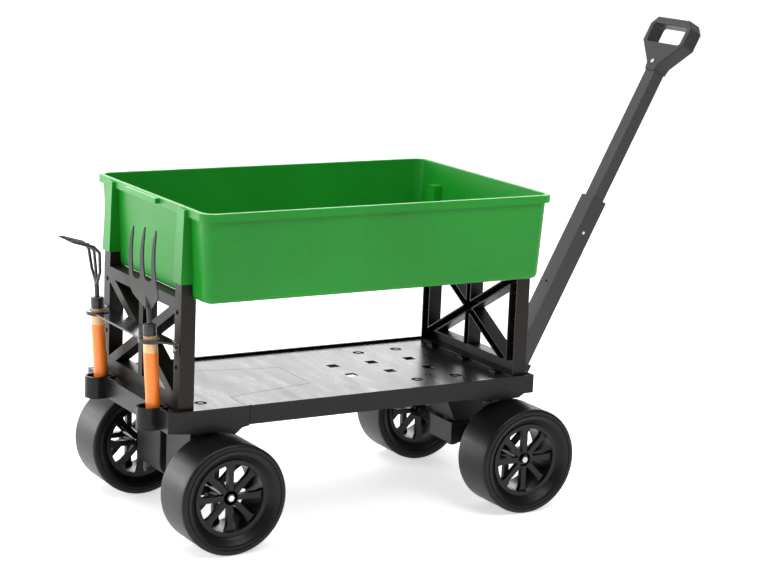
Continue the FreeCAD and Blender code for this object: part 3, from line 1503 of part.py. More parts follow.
def make_grip():
    body = new_body("grip_body")
    neck = size.grip_neck_half_width
    half = size.grip_half_width
    sketch = new_sketch(body, "grip_outline", "YZ_Plane")
    outline(sketch, [
        (-neck, size.grip_start),
        (neck, size.grip_start),
        (neck + 4, size.grip_start + 16),
        (half, size.grip_flare_end),
        (half, size.grip_end - size.grip_corner),
        (half - size.grip_corner, size.grip_end),
        (size.grip_corner - half, size.grip_end),
        (-half, size.grip_end - size.grip_corner),
        (-half, size.grip_flare_end),
        (-neck - 4, size.grip_start + 16),
    ])
    pad(body, "grip_pad", sketch, size.grip_depth, symmetric=True)
    opening = new_sketch(body, "grip_opening_outline", "YZ_Plane")
    inner = half - size.grip_side_bar
    rounded_rectangle(opening, both_ways(inner), (size.grip_flare_end, size.grip_flare_end + size.grip_opening_height),
                      as_formula(8))
    pocket(body, "grip_opening", opening, size.grip_depth + 2, symmetric=True)
    fillet_where(body, "grip_round", 5,
                 lambda edge: abs(abs(edge.CenterOfMass.x) - size.grip_depth.number / 2) < 1e-3
                 and edge.CenterOfMass.z > size.grip_start.number + 1)
    cuts = [
        block("grip_socket_hole", both_ways(inner_depth / 2), both_ways(inner_width / 2),
              (size.grip_start - 1, size.grip_start + size.grip_socket)),
        rod("grip_screw_hole", "x", (-30, 0, size.grip_start + 20), as_formula(2.7), 60),
    ]
    finish_tow(remove("grip_cut", body, cuts), "tow_grip")
    shank = rod("grip_screw_shank", "x", (-size.grip_depth / 2, 0, size.grip_start + 20), as_formula(2.5),
                size.grip_depth)
    head = rod("grip_screw_head", "x", (-size.grip_depth / 2 - 2.5, 0, size.grip_start + 20), as_formula(5),
               as_formula(2.5))
    nut = hexagon("grip_screw_nut", "x", (size.grip_depth / 2, 0, size.grip_start + 20), as_formula(5), as_formula(3))
    finish_tow(join("grip_screw_solid", [shank, head, nut]), "grip_screw")


# Hand tools, modelled upright on the foot of the handle -------------

def finish_tool(item, label, side):
    return tilt_into_place(item, label, tool_foot_x, side * size.tool_y, tool_foot_z, -size.tool_lean)


def make_tool_handle(name, side):
    body = new_body(f"{name}_handle_body")
    sketch = new_sketch(body, f"{name}_handle_section", "XZ_Plane")
    neck = size.ferrule_radius - size.ferrule_wall
    length = size.tool_handle_length
    radius = size.tool_radius
    outline(sketch, [
        (0, 0),
        (radius - 4, 0),
        (radius, 4, as_formula(4)),
        (radius, length - 45),
        (size.ferrule_radius, length),
        (neck, length),
        (neck, length + size.ferrule_height - 6),
        (0, length + size.ferrule_height - 6),
    ])
    revolve(body, f"{name}_handle_turned", sketch)
    finish_tool(body, f"{name}_handle", side)


def make_ferrule(name, side, tang_radius):
    body = new_body(f"{name}_ferrule_body")
    sketch = new_sketch(body, f"{name}_ferrule_section", "XZ_Plane")
    low = size.tool_handle_length
    top = low + size.ferrule_height
    outline(sketch, [
        (size.ferrule_radius - size.ferrule_wall, low),
        (size.ferrule_radius, low),
        (size.ferrule_radius, top - 4),
        (size.ferrule_radius - 4, top, as_formula(4)),
        (tang_radius, top),
        (tang_radius, top - 6),
        (size.ferrule_radius - size.ferrule_wall, top - 6),
    ])
    revolve(body, f"{name}_ferrule_turned", sketch)
    finish_tool(body, f"{name}_ferrule", side)


def fork_outline(sketch, low):
    # The foot, the shoulders and three pointed tines, seen from behind the cart.
    half = size.fork_width / 2
    foot = size.fork_foot_width / 2
    tine = size.fork_tine_width
    top = low + size.fork_length
    root = top - size.fork_tine_length
    shoulder = low + size.fork_shoulder
    tip_start = top - size.fork_tip_length
    slot_round = as_formula(9)
    outer_point = half - 4 - tine / 4
    right = [
        (foot, low),
        (half - 4, shoulder - 12),
        (half, shoulder),
        (half - 4, tip_start),
        (outer_point, top),
        (half - 4 - tine / 2, tip_start),
        (half - tine, root + slot_round),
        (half - tine - slot_round, root, -slot_round - 1),
        (tine / 2 + slot_round, root),
        (tine / 2, root + slot_round, -slot_round - 1),
        (tine / 4, tip_start),
        (0.8, top + 2),
    ]
    left = [
        (-0.8, top + 2),
        (-tine / 4, tip_start),
        (-tine / 2, root + slot_round),
        (-tine / 2 - slot_round, root, -slot_round - 1),
        (tine - half + slot_round, root),
        (tine - half, root + slot_round, -slot_round - 1),
        (4 + tine / 2 - half, tip_start),
        (-outer_point, top),
        (4 - half, tip_start),
        (-half, shoulder),
        (4 - half, shoulder - 12),
        (-foot, low),
    ]
    return outline(sketch, right + left)


def make_fork(side):
    low = size.tool_handle_length + size.ferrule_height + size.fork_neck
    silhouette = new_body("fork_silhouette")
    sketch = new_sketch(silhouette, "fork_face", "YZ_Plane")
    fork_outline(sketch, low)
    pad(silhouette, "fork_face_pad", sketch, as_formula(60), symmetric=True)
    dish = new_body("fork_dish")
    curve = new_sketch(dish, "fork_dish_section", "XZ_Plane")
    start = low - 4
    end = low + size.fork_length + 4
    back = -size.fork_thickness / 2
    face = size.fork_thickness / 2
    outline(curve, [
        (face, start),
        (face, end, -size.fork_dish_radius),
        (back, end),
        (back, start, size.fork_dish_radius),
    ])
    pad(dish, "fork_dish_pad", curve, size.fork_width + 10, symmetric=True)
    plate = document.addObject("Part::Common", "fork_plate")
    plate.Base = silhouette
    plate.Tool = dish
    neck_low = size.tool_handle_length + size.ferrule_height - 6
    neck = rod("fork_neck", "z", (0, 0, neck_low), size.fork_neck_radius, low - neck_low + 12)
    tang = rod("fork_tang", "z", (-size.fork_neck_radius, 0, low - 2), size.tang_radius, size.fork_shoulder)
    head = join("fork_solid", [plate, neck, tang])
    head.Placement = FreeCAD.Placement(FreeCAD.Vector(), FreeCAD.Rotation(FreeCAD.Vector(0, 0, 1), 1))
    bind(head, "Placement.Rotation.Angle", size.fork_turn)
    finish_tool(group("fork_turned", [head]), "fork_head", side)


def make_cultivator(side):
    # Three round tines that fan out, bend backwards and end in points.
    radius = size.cultivator_tine_radius.number
    low = driving_sizes["tool_handle_length"] + driving_sizes["ferrule_height"] - 6
    spread = driving_sizes["cultivator_spread"]
    solids = [Part.makeCylinder(radius + 1.8, 34, FreeCAD.Vector(0, 0, low))]
    for column in (-1, 0, 1):
        points = [
            FreeCAD.Vector(0, 0, low + 30),
            FreeCAD.Vector(0, column * spread * 0.75, low + 62),
            FreeCAD.Vector(-2, column * spread, low + 104),
            FreeCAD.Vector(-14, column * spread, low + 118),
            FreeCAD.Vector(-58, column * spread * 0.95, low + 134),
        ]
        for start, end in zip(points, points[1:]):
            step = end - start
            solids.append(Part.makeCylinder(radius, step.Length, start, step))
            solids.append(Part.makeSphere(radius, start))
        last_step = points[-1] - points[-2]
        solids.append(Part.makeCone(radius, 0.6, 12, points[-1], last_step))
    item = document.addObject("Part::Feature", "cultivator_solid")
    item.Shape = solids[0].multiFuse(solids[1:]).removeSplitter()
    finish_tool(item, "cultivator_tines", side)


def make_tools():
    make_tool_handle("fork", -1)
    make_ferrule("fork", -1, as_formula(5))
    make_fork(-1)
    make_tool_handle("cultivator", 1)
    make_ferrule("cultivator", 1, as_formula(5))
    make_cultivator(1)


def check_and_write():
    document.recompute()
    for item in document.Objects:
        if "Invalid" in item.State or "Error" in item.State:
            raise RuntimeError(f"{item.Name} failed: {item.State}")
    os.makedirs("parts", exist_ok=True)
    for label, item in nodes.items():
        if item.Shape.isNull() or not item.Shape.isValid() or item.Shape.Volume <= 0:
            raise RuntimeError(f"{label} has no valid shape")
        item.Shape.exportStep(f"parts/{label}.step")
    print(f"{len(nodes)} nodes written")


make_deck_rear()
make_deck_front()
make_deck_screws()
make_side_rails()
make_panel("rear_panel", rear_panel_x, 1)
make_panel("front_panel", front_panel_x, -1)
make_panel_screws()
make_tool_rack()
make_rear_bracket("rear_axle_bracket_right", -1)
make_rear_bracket("rear_axle_bracket_left", 1)
make_rear_axle_tube()
make_axle("rear_axle", rear_axle_x)
make_axle("front_axle", front_axle_x)
make_mount_bolts()
make_front_bolster()
make_kingpin()
make_axle_carrier()
make_tow_pivot()
make_wheels()
make_tub()
make_yoke()
make_yoke_screws()
make_outer_tube()
make_tube_guides()
make_inner_tube()
make_lock_button()
make_grip()
make_tools()
check_and_write()
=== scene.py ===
import json
import math

import bmesh
import bpy
from mathutils import Matrix, Vector

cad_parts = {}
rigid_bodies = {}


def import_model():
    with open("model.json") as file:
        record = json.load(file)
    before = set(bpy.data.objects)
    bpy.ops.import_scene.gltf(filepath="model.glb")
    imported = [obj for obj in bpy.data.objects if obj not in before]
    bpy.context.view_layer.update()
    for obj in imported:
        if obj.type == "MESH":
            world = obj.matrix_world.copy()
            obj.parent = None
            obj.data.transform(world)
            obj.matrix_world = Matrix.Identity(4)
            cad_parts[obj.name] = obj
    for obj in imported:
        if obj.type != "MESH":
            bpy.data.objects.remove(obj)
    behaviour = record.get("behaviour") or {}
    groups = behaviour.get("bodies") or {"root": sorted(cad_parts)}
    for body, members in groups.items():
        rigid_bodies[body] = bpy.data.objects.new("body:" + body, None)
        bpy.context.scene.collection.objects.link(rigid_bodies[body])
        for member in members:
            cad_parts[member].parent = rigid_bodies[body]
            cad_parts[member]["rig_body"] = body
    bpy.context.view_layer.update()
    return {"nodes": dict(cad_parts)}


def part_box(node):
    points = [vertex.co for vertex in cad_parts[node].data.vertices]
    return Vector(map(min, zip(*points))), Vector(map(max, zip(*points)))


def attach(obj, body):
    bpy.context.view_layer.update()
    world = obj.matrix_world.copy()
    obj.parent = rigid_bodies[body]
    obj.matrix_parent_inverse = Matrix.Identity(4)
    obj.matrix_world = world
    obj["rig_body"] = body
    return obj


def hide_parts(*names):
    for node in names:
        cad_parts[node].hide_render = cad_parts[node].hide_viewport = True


# Places and sizes are in metres, in the frame's own axes.
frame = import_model()
nodes = frame["nodes"]
print("frame loaded:", len(nodes), "nodes")


def bodyOf(nodeName):
    return nodes[nodeName]["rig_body"]


def boxOf(nodeName):
    # The low corner, the high corner and the middle of a node's box.
    low, high = (Vector(corner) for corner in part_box(nodeName))
    return low, high, (low + high) / 2


def linkItem(item):
    bpy.context.scene.collection.objects.link(item)


def setInputs(node, values):
    for name, value in values.items():
        node.inputs[name].default_value = value


def addNode(tree, kind, values=()):
    node = tree.nodes.new(kind)
    setInputs(node, dict(values))
    return node


# Angles in degrees, the lens and its sensor in millimetres.
camera = {
    "place": (-2.37252, -3.92155, 1.41565),
    "turn": -30.744,
    "rise": 11.883,
    "roll": 2.396,
    "lens": 100.85,
    "sensor": 36.0,
}


def makeCamera():
    turn, rise, roll = (math.radians(camera[key]) for key in ("turn", "rise", "roll"))
    back = Vector((math.sin(turn) * math.cos(rise), -math.cos(turn) * math.cos(rise), math.sin(rise)))
    right = (-back).cross(Vector((0, 0, 1))).normalized()
    up = right.cross(-back)
    tiltedRight = right * math.cos(roll) + up * math.sin(roll)
    tiltedUp = up * math.cos(roll) - right * math.sin(roll)
    data = bpy.data.cameras.new("studioCamera")
    data.lens = camera["lens"]
    data.sensor_width = camera["sensor"]
    item = bpy.data.objects.new("studioCamera", data)
    axes = Matrix((tiltedRight, tiltedUp, back)).transposed()
    item.matrix_world = Matrix.Translation(Vector(camera["place"])) @ axes.to_4x4()
    linkItem(item)
    bpy.context.scene.camera = item
    print("camera made")


studio = {
    # The sky is dark on the near side and bright on the far side, and fades between the two.
    "nearSky": 0.12,
    "farSky": 1.1,
    "fadeFrom": -0.35,
    "fadeTo": 0.3,
    "floorReach": 30.0,
    "floorColor": (0.85, 0.85, 0.85),
    "floorRoughness": 0.9,
    "floorGlow": 0.55,
    "lights": [
        # name, place, aim, width, height, power
        ("farLeftSoft", (-3.0, 3.8, 1.0), (-0.5, 0.0, 0.4), 2.6, 1.8, 95.0),
        ("farRightSoft", (2.2, 4.3, 1.75), (0.0, 0.0, 0.25), 3.2, 1.3, 52.0),
        ("rearKey", (-3.6, 0.0, 1.3), (-0.6, 0.0, 0.45), 1.6, 1.6, 40.0),
        ("topSoft", (-0.9, 0.3, 3.3), (0.1, 0.0, 0.5), 2.2, 2.2, 85.0),
        ("nearSoft", (0.7, -3.0, 3.6), (0.0, 0.0, 0.5), 2.0, 2.0, 36.0),
        ("tubFill", (0.0, -1.2, 2.0), (0.0, 0.3, 0.6), 0.9, 0.9, 13.0),
    ],
}
white = (1.0, 1.0, 1.0, 1.0)


def makeSky():
    world = bpy.data.worlds.new("studioWorld")
    world.use_nodes = True
    tree = world.node_tree
    background = tree.nodes["Background"]
    direction = addNode(tree, "ShaderNodeTexCoord").outputs["Generated"]
    split = addNode(tree, "ShaderNodeSeparateXYZ")
    fade = addNode(tree, "ShaderNodeMapRange", {
        "From Min": studio["fadeFrom"],
        "From Max": studio["fadeTo"],
        "To Min": studio["nearSky"],
        "To Max": studio["farSky"],
    })
    fade.interpolation_type = "SMOOTHSTEP"
    tree.links.new(direction, split.inputs["Vector"])
    tree.links.new(split.outputs["Y"], fade.inputs["Value"])
    tree.links.new(fade.outputs["Result"], background.inputs["Strength"])
    setInputs(background, {"Color": white})
    bpy.context.scene.world = world


def makeLights():
    for name, place, aim, width, height, power in studio["lights"]:
        data = bpy.data.lights.new(name, "AREA")
        data.shape = "RECTANGLE"
        data.size = width
        data.size_y = height
        data.energy = power
        item = bpy.data.objects.new(name, data)
        item.location = place
        item.rotation_euler = (Vector(aim) - Vector(place)).to_track_quat("-Z", "Y").to_euler()
        linkItem(item)


def makeFloor():
    reach = studio["floorReach"]
    corners = [(-reach, -reach, 0), (reach, -reach, 0), (reach, reach, 0), (-reach, reach, 0)]
    mesh = bpy.data.meshes.new("studioFloor")
    mesh.from_pydata(corners, [], [(0, 1, 2, 3)])
    floor = bpy.data.objects.new("studioFloor", mesh)
    linkItem(floor)
    material = bpy.data.materials.new("floorPaper")
    material.use_nodes = True
    setInputs(material.node_tree.nodes["Principled BSDF"], {
        "Base Color": (*studio["floorColor"], 1.0),
        "Roughness": studio["floorRoughness"],
        "Emission Color": white,
        "Emission Strength": studio["floorGlow"],
    })
    mesh.materials.append(material)


def makeStudio():
    makeSky()
    makeLights()
    makeFloor()
    print("studio made:", len(studio["lights"]), "lights")


def shade(color, factor):
    return tuple(min(1.0, channel * factor) for channel in color)


# Where a colour mix keeps its two colours and its result.
mixSockets = {"first": 6, "second": 7, "result": 2}


class MaterialTree:
    # A new material, with a short way to add shader nodes and join them.
    def __init__(self, name):
        self.material = bpy.data.materials.new(name)
        self.material.use_nodes = True
        self.tree = self.material.node_tree
        self.shader = self.tree.nodes["Principled BSDF"]
        self.coordinates = addNode(self.tree, "ShaderNodeTexCoord").outputs["Object"]

    def join(self, source, target):
        self.tree.links.new(source, target)

    def feed(self, source, inputName):
        self.join(source, self.shader.inputs[inputName])

    def noise(self, scale, detail, stretch=None):
        vector = self.coordinates
        if stretch:
            mapping = addNode(self.tree, "ShaderNodeMapping", {"Scale": stretch})
            self.join(vector, mapping.inputs["Vector"])
            vector = mapping.outputs["Vector"]
        node = addNode(self.tree, "ShaderNodeTexNoise", {"Scale": scale, "Detail": detail})
        self.join(vector, node.inputs["Vector"])
        return node.outputs["Fac"]

    def ramp(self, source, reach, lowColor=(0, 0, 0), highColor=(1, 1, 1)):
        # Runs from the low colour to the high one between the two ends of reach.
        node = addNode(self.tree, "ShaderNodeValToRGB")
        for element, position, color in zip(node.color_ramp.elements, reach, (lowColor, highColor)):
            element.position = position
            element.color = (*color, 1)
        self.join(source, node.inputs["Fac"])
        return node.outputs["Color"]

    def tint(self, source, reach, color, shades):
        # Runs between two shades of one colour.
        return self.ramp(source, reach, shade(color, shades[0]), shade(color, shades[1]))

    def mix(self, factor, first, second):
        node = addNode(self.tree, "ShaderNodeMix")
        node.data_type = "RGBA"
        self.join(factor, node.inputs["Factor"])
        for place, value in (("first", first), ("second", second)):
            socket = node.inputs[mixSockets[place]]
            if isinstance(value, tuple):
                socket.default_value = (*value, 1)
            else:
                self.join(value, socket)
        return node.outputs[mixSockets["result"]]

    def roughen(self, source, low, high):
        # The pattern moves the roughness between two values.
        node = addNode(self.tree, "ShaderNodeMapRange", {"To Min": low, "To Max": high})
        self.join(source, node.inputs["Value"])
        self.feed(node.outputs["Result"], "Roughness")

    def bump(self, *heights):
        # Each height is (source, strength, distance), and they stack.
        normal = None
        for source, strength, distance in heights:
            node = addNode(self.tree, "ShaderNodeBump", {"Strength": strength, "Distance": distance})
            self.join(source, node.inputs["Height"])
            if normal:
                self.join(normal, node.inputs["Normal"])
            normal = node.outputs["Normal"]
        self.feed(normal, "Normal")


# In each look, a noise is its scale, its detail and any stretch. A reach is where a pattern starts
# and ends, shades multiply the colour, and a spread is added to the gloss.
plasticLook = {
    "clouds": (5.0, 3.0),
    "cloudReach": (0.3, 0.75),
    "cloudShades": (0.88, 1.12),
    "scuffs": (38.0, 6.0, (1.0, 0.25, 2.2)),
    "scuffReach": (0.62, 0.8),
    "glossSpread": (-0.05, 0.12),
    "grainDetail": 2.0,
    "grainHeight": 0.0006,
    "sinks": (7.0, 1.0),
    "sinkStrength": 0.05,
    "sinkHeight": 0.01,
    "coatRoughness": 0.22,
}

plastics = {
    "deck": {"name": "deckPlastic", "color": (0.007, 0.007, 0.0075), "gloss": 0.25,
             "grain": 900.0, "grainDepth": 0.1, "ior": 1.3, "wear": 0.3},
    "panel": {"name": "panelPlastic", "color": (0.0105, 0.0072, 0.0058), "gloss": 0.38,
              "grain": 900.0, "grainDepth": 0.2, "ior": 1.32},
    "tub": {"name": "tubPlastic", "color": (0.007, 0.215, 0.014), "gloss": 0.36,
            "grain": 1100.0, "grainDepth": 0.12, "ior": 1.36, "wear": 0.12},
    "rack": {"name": "rackPlastic", "color": (0.01, 0.01, 0.011), "gloss": 0.12,
             "grain": 1200.0, "grainDepth": 0.04, "clear": 0.4},
    "frame": {"name": "underframePlastic", "color": (0.006, 0.006, 0.0065), "gloss": 0.45,
              "grain": 700.0, "grainDepth": 0.3},
    "tyre": {"name": "tyrePlastic", "color": (0.0045, 0.0045, 0.005), "gloss": 0.36,
             "grain": 520.0, "grainDepth": 0.25, "ior": 1.32, "wear": 0.5},
    "rim": {"name": "rimPlastic", "color": (0.003, 0.003, 0.0034), "gloss": 0.26,
            "grain": 800.0, "grainDepth": 0.2, "ior": 1.33},
    "grip": {"name": "gripPlastic", "color": (0.02, 0.02, 0.021), "gloss": 0.45,
             "grain": 420.0, "grainDepth": 0.4},
    "nylon": {"name": "bushNylon", "color": (0.5, 0.49, 0.45), "gloss": 0.4,
              "grain": 900.0, "grainDepth": 0.2},
    "button": {"name": "buttonPlastic", "color": (0.8, 0.8, 0.8), "gloss": 0.3,
               "grain": 900.0, "grainDepth": 0.1, "wear": 0.05},
}


def mouldedPlastic(name, color, gloss, grain, grainDepth, clear=0.0, wear=0.25, ior=1.38):
    # Fine grain over faint flow clouds and sink marks, and light scuffs that lift the roughness.
    look = plasticLook
    tree = MaterialTree(name)
    scuffs = tree.noise(*look["scuffs"])
    base = tree.tint(tree.noise(*look["clouds"]), look["cloudReach"], color, look["cloudShades"])
    marks = tree.ramp(scuffs, look["scuffReach"])
    tree.feed(tree.mix(marks, base, shade(color, 1.0 + wear)), "Base Color")
    tree.roughen(scuffs, *(gloss + step for step in look["glossSpread"]))
    tree.bump(
        (tree.noise(grain, look["grainDetail"]), grainDepth, look["grainHeight"]),
        (tree.noise(*look["sinks"]), look["sinkStrength"], look["sinkHeight"]),
    )
    setInputs(tree.shader, {
        "IOR": ior,
        "Coat Weight": clear,
        "Coat Roughness": look["coatRoughness"],
    })
    return tree.material


platedLook = {
    "brushed": (160.0, 3.0, (1.0, 0.08, 1.0)),
    "glossSpread": (-0.08, 0.14),
    "brushedStrength": 0.15,
    "brushedHeight": 0.0003,
    "spots": (55.0, 4.0),
    "spotReach": (0.35, 0.7),
    "spotShades": (0.8, 1.1),
}

platedSteels = {
    "steel": {"name": "zincSteel", "color": (0.62, 0.62, 0.6), "gloss": 0.32},
    "darkSteel": {"name": "blackenedSteel", "color": (0.05, 0.05, 0.052), "gloss": 0.34},
}


def platedSteel(name, color, gloss):
    # Brushed metal under a plating with faint spots.
    look = platedLook
    tree = MaterialTree(name)
    brushed = tree.noise(*look["brushed"])
    base = tree.tint(tree.noise(*look["spots"]), look["spotReach"], color, look["spotShades"])
    tree.feed(base, "Base Color")
    setInputs(tree.shader, {"Metallic": 1.0})
    tree.roughen(brushed, *(gloss + step for step in look["glossSpread"]))
    tree.bump((brushed, look["brushedStrength"], look["brushedHeight"]))
    return tree.material


coatedLook = {
    "peel": (900.0, 2.0),
    "peelStrength": 0.22,
    "peelHeight": 0.0004,
    "rubbed": (26.0, 5.0),
    "rubbedReach": (0.6, 0.78),
    "rubbedShade": 1.35,
    "gloss": (18.0, 3.0),
    "glossSpread": (-0.06, 0.08),
}

coatings = {
    "tube": {"name": "tubeCoat", "color": (0.011, 0.011, 0.0115), "gloss": 0.3},
    "innerTube": {"name": "innerTubeCoat", "color": (0.016, 0.016, 0.017), "gloss": 0.26},
    "rail": {"name": "railCoat", "color": (0.016, 0.016, 0.017), "gloss": 0.45},
    "toolSteel": {"name": "toolCoat", "color": (0.015, 0.0145, 0.014), "gloss": 0.3},
}


def coatedMetal(name, color, gloss):
    # Powder coat: a faint orange-peel skin with slightly brighter rubbed spots.
    look = coatedLook
    tree = MaterialTree(name)
    rubbed = tree.ramp(tree.noise(*look["rubbed"]), look["rubbedReach"])
    tree.feed(tree.mix(rubbed, color, shade(color, look["rubbedShade"])), "Base Color")
    tree.roughen(tree.noise(*look["gloss"]), *(gloss + step for step in look["glossSpread"]))
    tree.bump((tree.noise(*look["peel"]), look["peelStrength"], look["peelHeight"]))
    return tree.material


def makeMaterials():
    found = {key: mouldedPlastic(**row) for key, row in plastics.items()}
    found.update({key: platedSteel(**row) for key, row in platedSteels.items()})
    found.update({key: coatedMetal(**row) for key, row in coatings.items()})
    print("materials made:", len(found))
    return found


# Angles in degrees. The flat angle joins faces that lie in one plane, and edges sharper than the
# sharp angle are rounded.
meshWork = {
    "mergeDistance": 2e-6,
    "flatAngle": 0.6,
    "sharpAngle": 32.0,
    "roundProfile": 0.6,
    "smoothAngle": 35.0,
    "roundedSmoothAngle": 50.0,
}


def smoothMesh(mesh, smoothAngle):
    mesh.shade_smooth()
    mesh.set_sharp_from_angle(angle=math.radians(smoothAngle))


def meshObject(name, mesh, material, smoothAngle=meshWork["smoothAngle"]):
    item = bpy.data.objects.new(name, mesh)
    linkItem(item)
    mesh.materials.clear()
    mesh.materials.append(material)
    smoothMesh(mesh, smoothAngle)
    return item


def mergedCopy(nodeName):
    # The node's mesh with its doubles merged.
    edit = bmesh.new()
    edit.from_mesh(nodes[nodeName].data)
    bmesh.ops.remove_doubles(edit, verts=edit.verts, dist=meshWork["mergeDistance"])
    return edit


def sharpEdges(edit, angle):
    limit = math.radians(angle)
    picked = []
    for edge in edit.edges:
        if len(edge.link_faces) == 2 and edge.calc_face_angle(0.0) > limit:
            picked.append(edge)
    return picked


def roundedNode(nodeName, material, width, angle=meshWork["sharpAngle"], segments=2):
    # Stands in for a CAD node, with its sharp edges rounded as a mould or a press leaves them.
    edit = mergedCopy(nodeName)
    bmesh.ops.dissolve_limit(edit, angle_limit=math.radians(meshWork["flatAngle"]),
                             verts=edit.verts, edges=edit.edges, delimit={"NORMAL"})
    bmesh.ops.bevel(edit, geom=sharpEdges(edit, angle), offset=width, offset_type="OFFSET",
                    segments=segments, profile=meshWork["roundProfile"], affect="EDGES",
                    clamp_overlap=True)
    manySided = [face for face in edit.faces if len(face.verts) > 4]
    bmesh.ops.triangulate(edit, faces=manySided)
    mesh = bpy.data.meshes.new(f"{nodeName}_rounded")
    edit.to_mesh(mesh)
    edit.free()
    item = meshObject(f"{nodeName}_rounded", mesh, material, meshWork["roundedSmoothAngle"])
    normals = item.modifiers.new("flatShading", "WEIGHTED_NORMAL")
    normals.keep_sharp = True
    applyModifiers(item)
    finishPiece(item, nodeName)


def applyModifiers(item):
    graph = bpy.context.evaluated_depsgraph_get()
    finished = item.evaluated_get(graph)
    mesh = bpy.data.meshes.new_from_object(finished, preserve_all_data_layers=True, depsgraph=graph)
    item.modifiers.clear()
    old = item.data
    item.data = mesh
    mesh.name = old.name


def finishPiece(item, nodeName):
    # The piece rides on the body of the node that it stands in for.
    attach(item, bodyOf(nodeName))
    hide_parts(nodeName)


def setMaterial(nodeName, material):
    mesh = nodes[nodeName].data
    mesh.materials.clear()
    mesh.materials.append(material)


def lathe(name, profile, steps, material, place, closed=True):
    # Turns a (radius, height) profile about Z and moves it to its place. A closed one makes a ring.
    edit = bmesh.new()
    rings = []
    for radius, height in profile:
        ring = []
        for index in range(steps if radius else 1):
            angle = 2 * math.pi * index / steps
            ring.append(edit.verts.new((radius * math.cos(angle), radius * math.sin(angle), height)))
        rings.append(ring)
    pairs = list(zip(rings, rings[1:]))
    if closed:
        pairs.append((rings[-1], rings[0]))
    for first, second in pairs:
        for index in range(steps):
            after = (index + 1) % steps
            if len(first) == 1:
                edit.faces.new((first[0], second[after], second[index]))
            elif len(second) == 1:
                edit.faces.new((first[index], first[after], second[0]))
            else:
                edit.faces.new((first[index], first[after], second[after], second[index]))
    bmesh.ops.recalc_face_normals(edit, faces=edit.faces)
    bmesh.ops.transform(edit, matrix=place, verts=edit.verts)
    mesh = bpy.data.meshes.new(name)
    edit.to_mesh(mesh)
    edit.free()
    return meshObject(name, mesh, material)


def arcPoints(center, radius, start, end, count):
    points = []
    for index in range(count + 1):
        angle = math.radians(start + (end - start) * index / count)
        points.append((center[0] + radius * math.cos(angle), center[1] + radius * math.sin(angle)))
    return points


# The sidewall rises from the bowl round the rim, past a thin groove, to a round shoulder.
tyreShape = {
    "bead": 0.076,
    "bowlInner": 0.0795,
    "bowlDepth": 0.0165,
    "bowlInset": 0.0165,
    "bowlSteps": 8,
    "bowlFill": 0.93,
    "bowlPower": 1.6,
    "beadDrop": 0.0005,
    "lip": 0.0012,
    "ring": 0.010,
    "grooveInset": 0.0015,
    "grooveWidth": 0.0018,
    "grooveDepth": 0.0018,
    "grooveSlopes": (0.6, 0.4),
    "shoulder": 0.006,
    "shoulderSteps": 6,
    "crown": 0.0004,
    "crownShares": (0.5, 0.25),
    "skin": 0.0001,
    "steps": 112,
}

rimEdge = {
    "width": 0.0012,
    "angle": 40.0,
}


def tyreProfile(radius, top):
    # One side of the tyre's section from the bead to the tread, then the same mirrored.
    shape = tyreShape
    bowlTop = radius - shape["bowlInset"]
    bowlFloor = top - shape["bowlDepth"]
    points = [(shape["bead"], bowlFloor - shape["beadDrop"])]
    points.append((shape["bowlInner"], bowlFloor - shape["beadDrop"]))
    for index in range(1, shape["bowlSteps"] + 1):
        share = index / shape["bowlSteps"]
        swell = math.sin(share * math.pi / 2) ** shape["bowlPower"]
        across = shape["bowlInner"] + (bowlTop - shape["bowlInner"]) * share
        points.append((across, bowlFloor + shape["bowlDepth"] * shape["bowlFill"] * swell))
    points.append((bowlTop + shape["lip"], top))
    grooveOuter = radius - shape["ring"] - shape["grooveInset"]
    grooveInner = grooveOuter - shape["grooveWidth"]
    grooveFloor = top - shape["grooveDepth"]
    innerSlope, outerSlope = shape["grooveSlopes"]
    points += [(grooveInner, top), (grooveOuter - shape["grooveWidth"] * innerSlope, grooveFloor)]
    points += [(grooveOuter, grooveFloor), (grooveOuter + shape["grooveWidth"] * outerSlope, top)]
    shoulderCenter = (radius - shape["shoulder"], top - shape["shoulder"])
    points += arcPoints(shoulderCenter, shape["shoulder"], 90, 0, shape["shoulderSteps"])
    edgeShare, middleShare = shape["crownShares"]
    points += [(radius - shape["crown"], top * edgeShare), (radius, top * middleShare)]
    return points + [(x, -y) for x, y in reversed(points)]


def makeWheels(materials):
    axleTurn = Matrix.Rotation(math.radians(-90), 4, "X")
    for end in ("rear", "front"):
        for side in ("left", "right"):
            wheel = f"{end}_{side}"
            low, high, middle = boxOf(f"{wheel}_tyre")
            profile = tyreProfile((high.z - low.z) / 2 - tyreShape["skin"], (high.y - low.y) / 2)
            place = Matrix.Translation(middle) @ axleTurn
            tyre = lathe(f"{wheel}_tread", profile, tyreShape["steps"], materials["tyre"], place)
            finishPiece(tyre, f"{wheel}_tyre")
            roundedNode(f"{wheel}_rim", materials["rim"], **rimEdge)
            setMaterial(f"{wheel}_bushes", materials["rim"])
    print("wheels made")


woodLook = {
    "orange": (0.90, 0.205, 0.004),
    "bare": (0.78, 0.47, 0.21),
    "grain": (30.0, 6.0, (6.0, 6.0, 0.7)),
    "grainStrength": 0.1,
    "grainHeight": 0.0006,
    "fine": (220.0, 3.0, (4.0, 4.0, 0.25)),
    "fineStrength": 0.18,
    "fineHeight": 0.0004,
    "bareReach": (0.3, 0.72),
    "bareShades": (0.72, 1.08),
    "orangeReach": (0.25, 0.8),
    "orangeShades": (0.88, 1.06),
    "bandBlur": 0.0006,
    "roughness": (0.34, 0.5),
    "coatWeight": 0.35,
    "coatRoughness": 0.25,
}


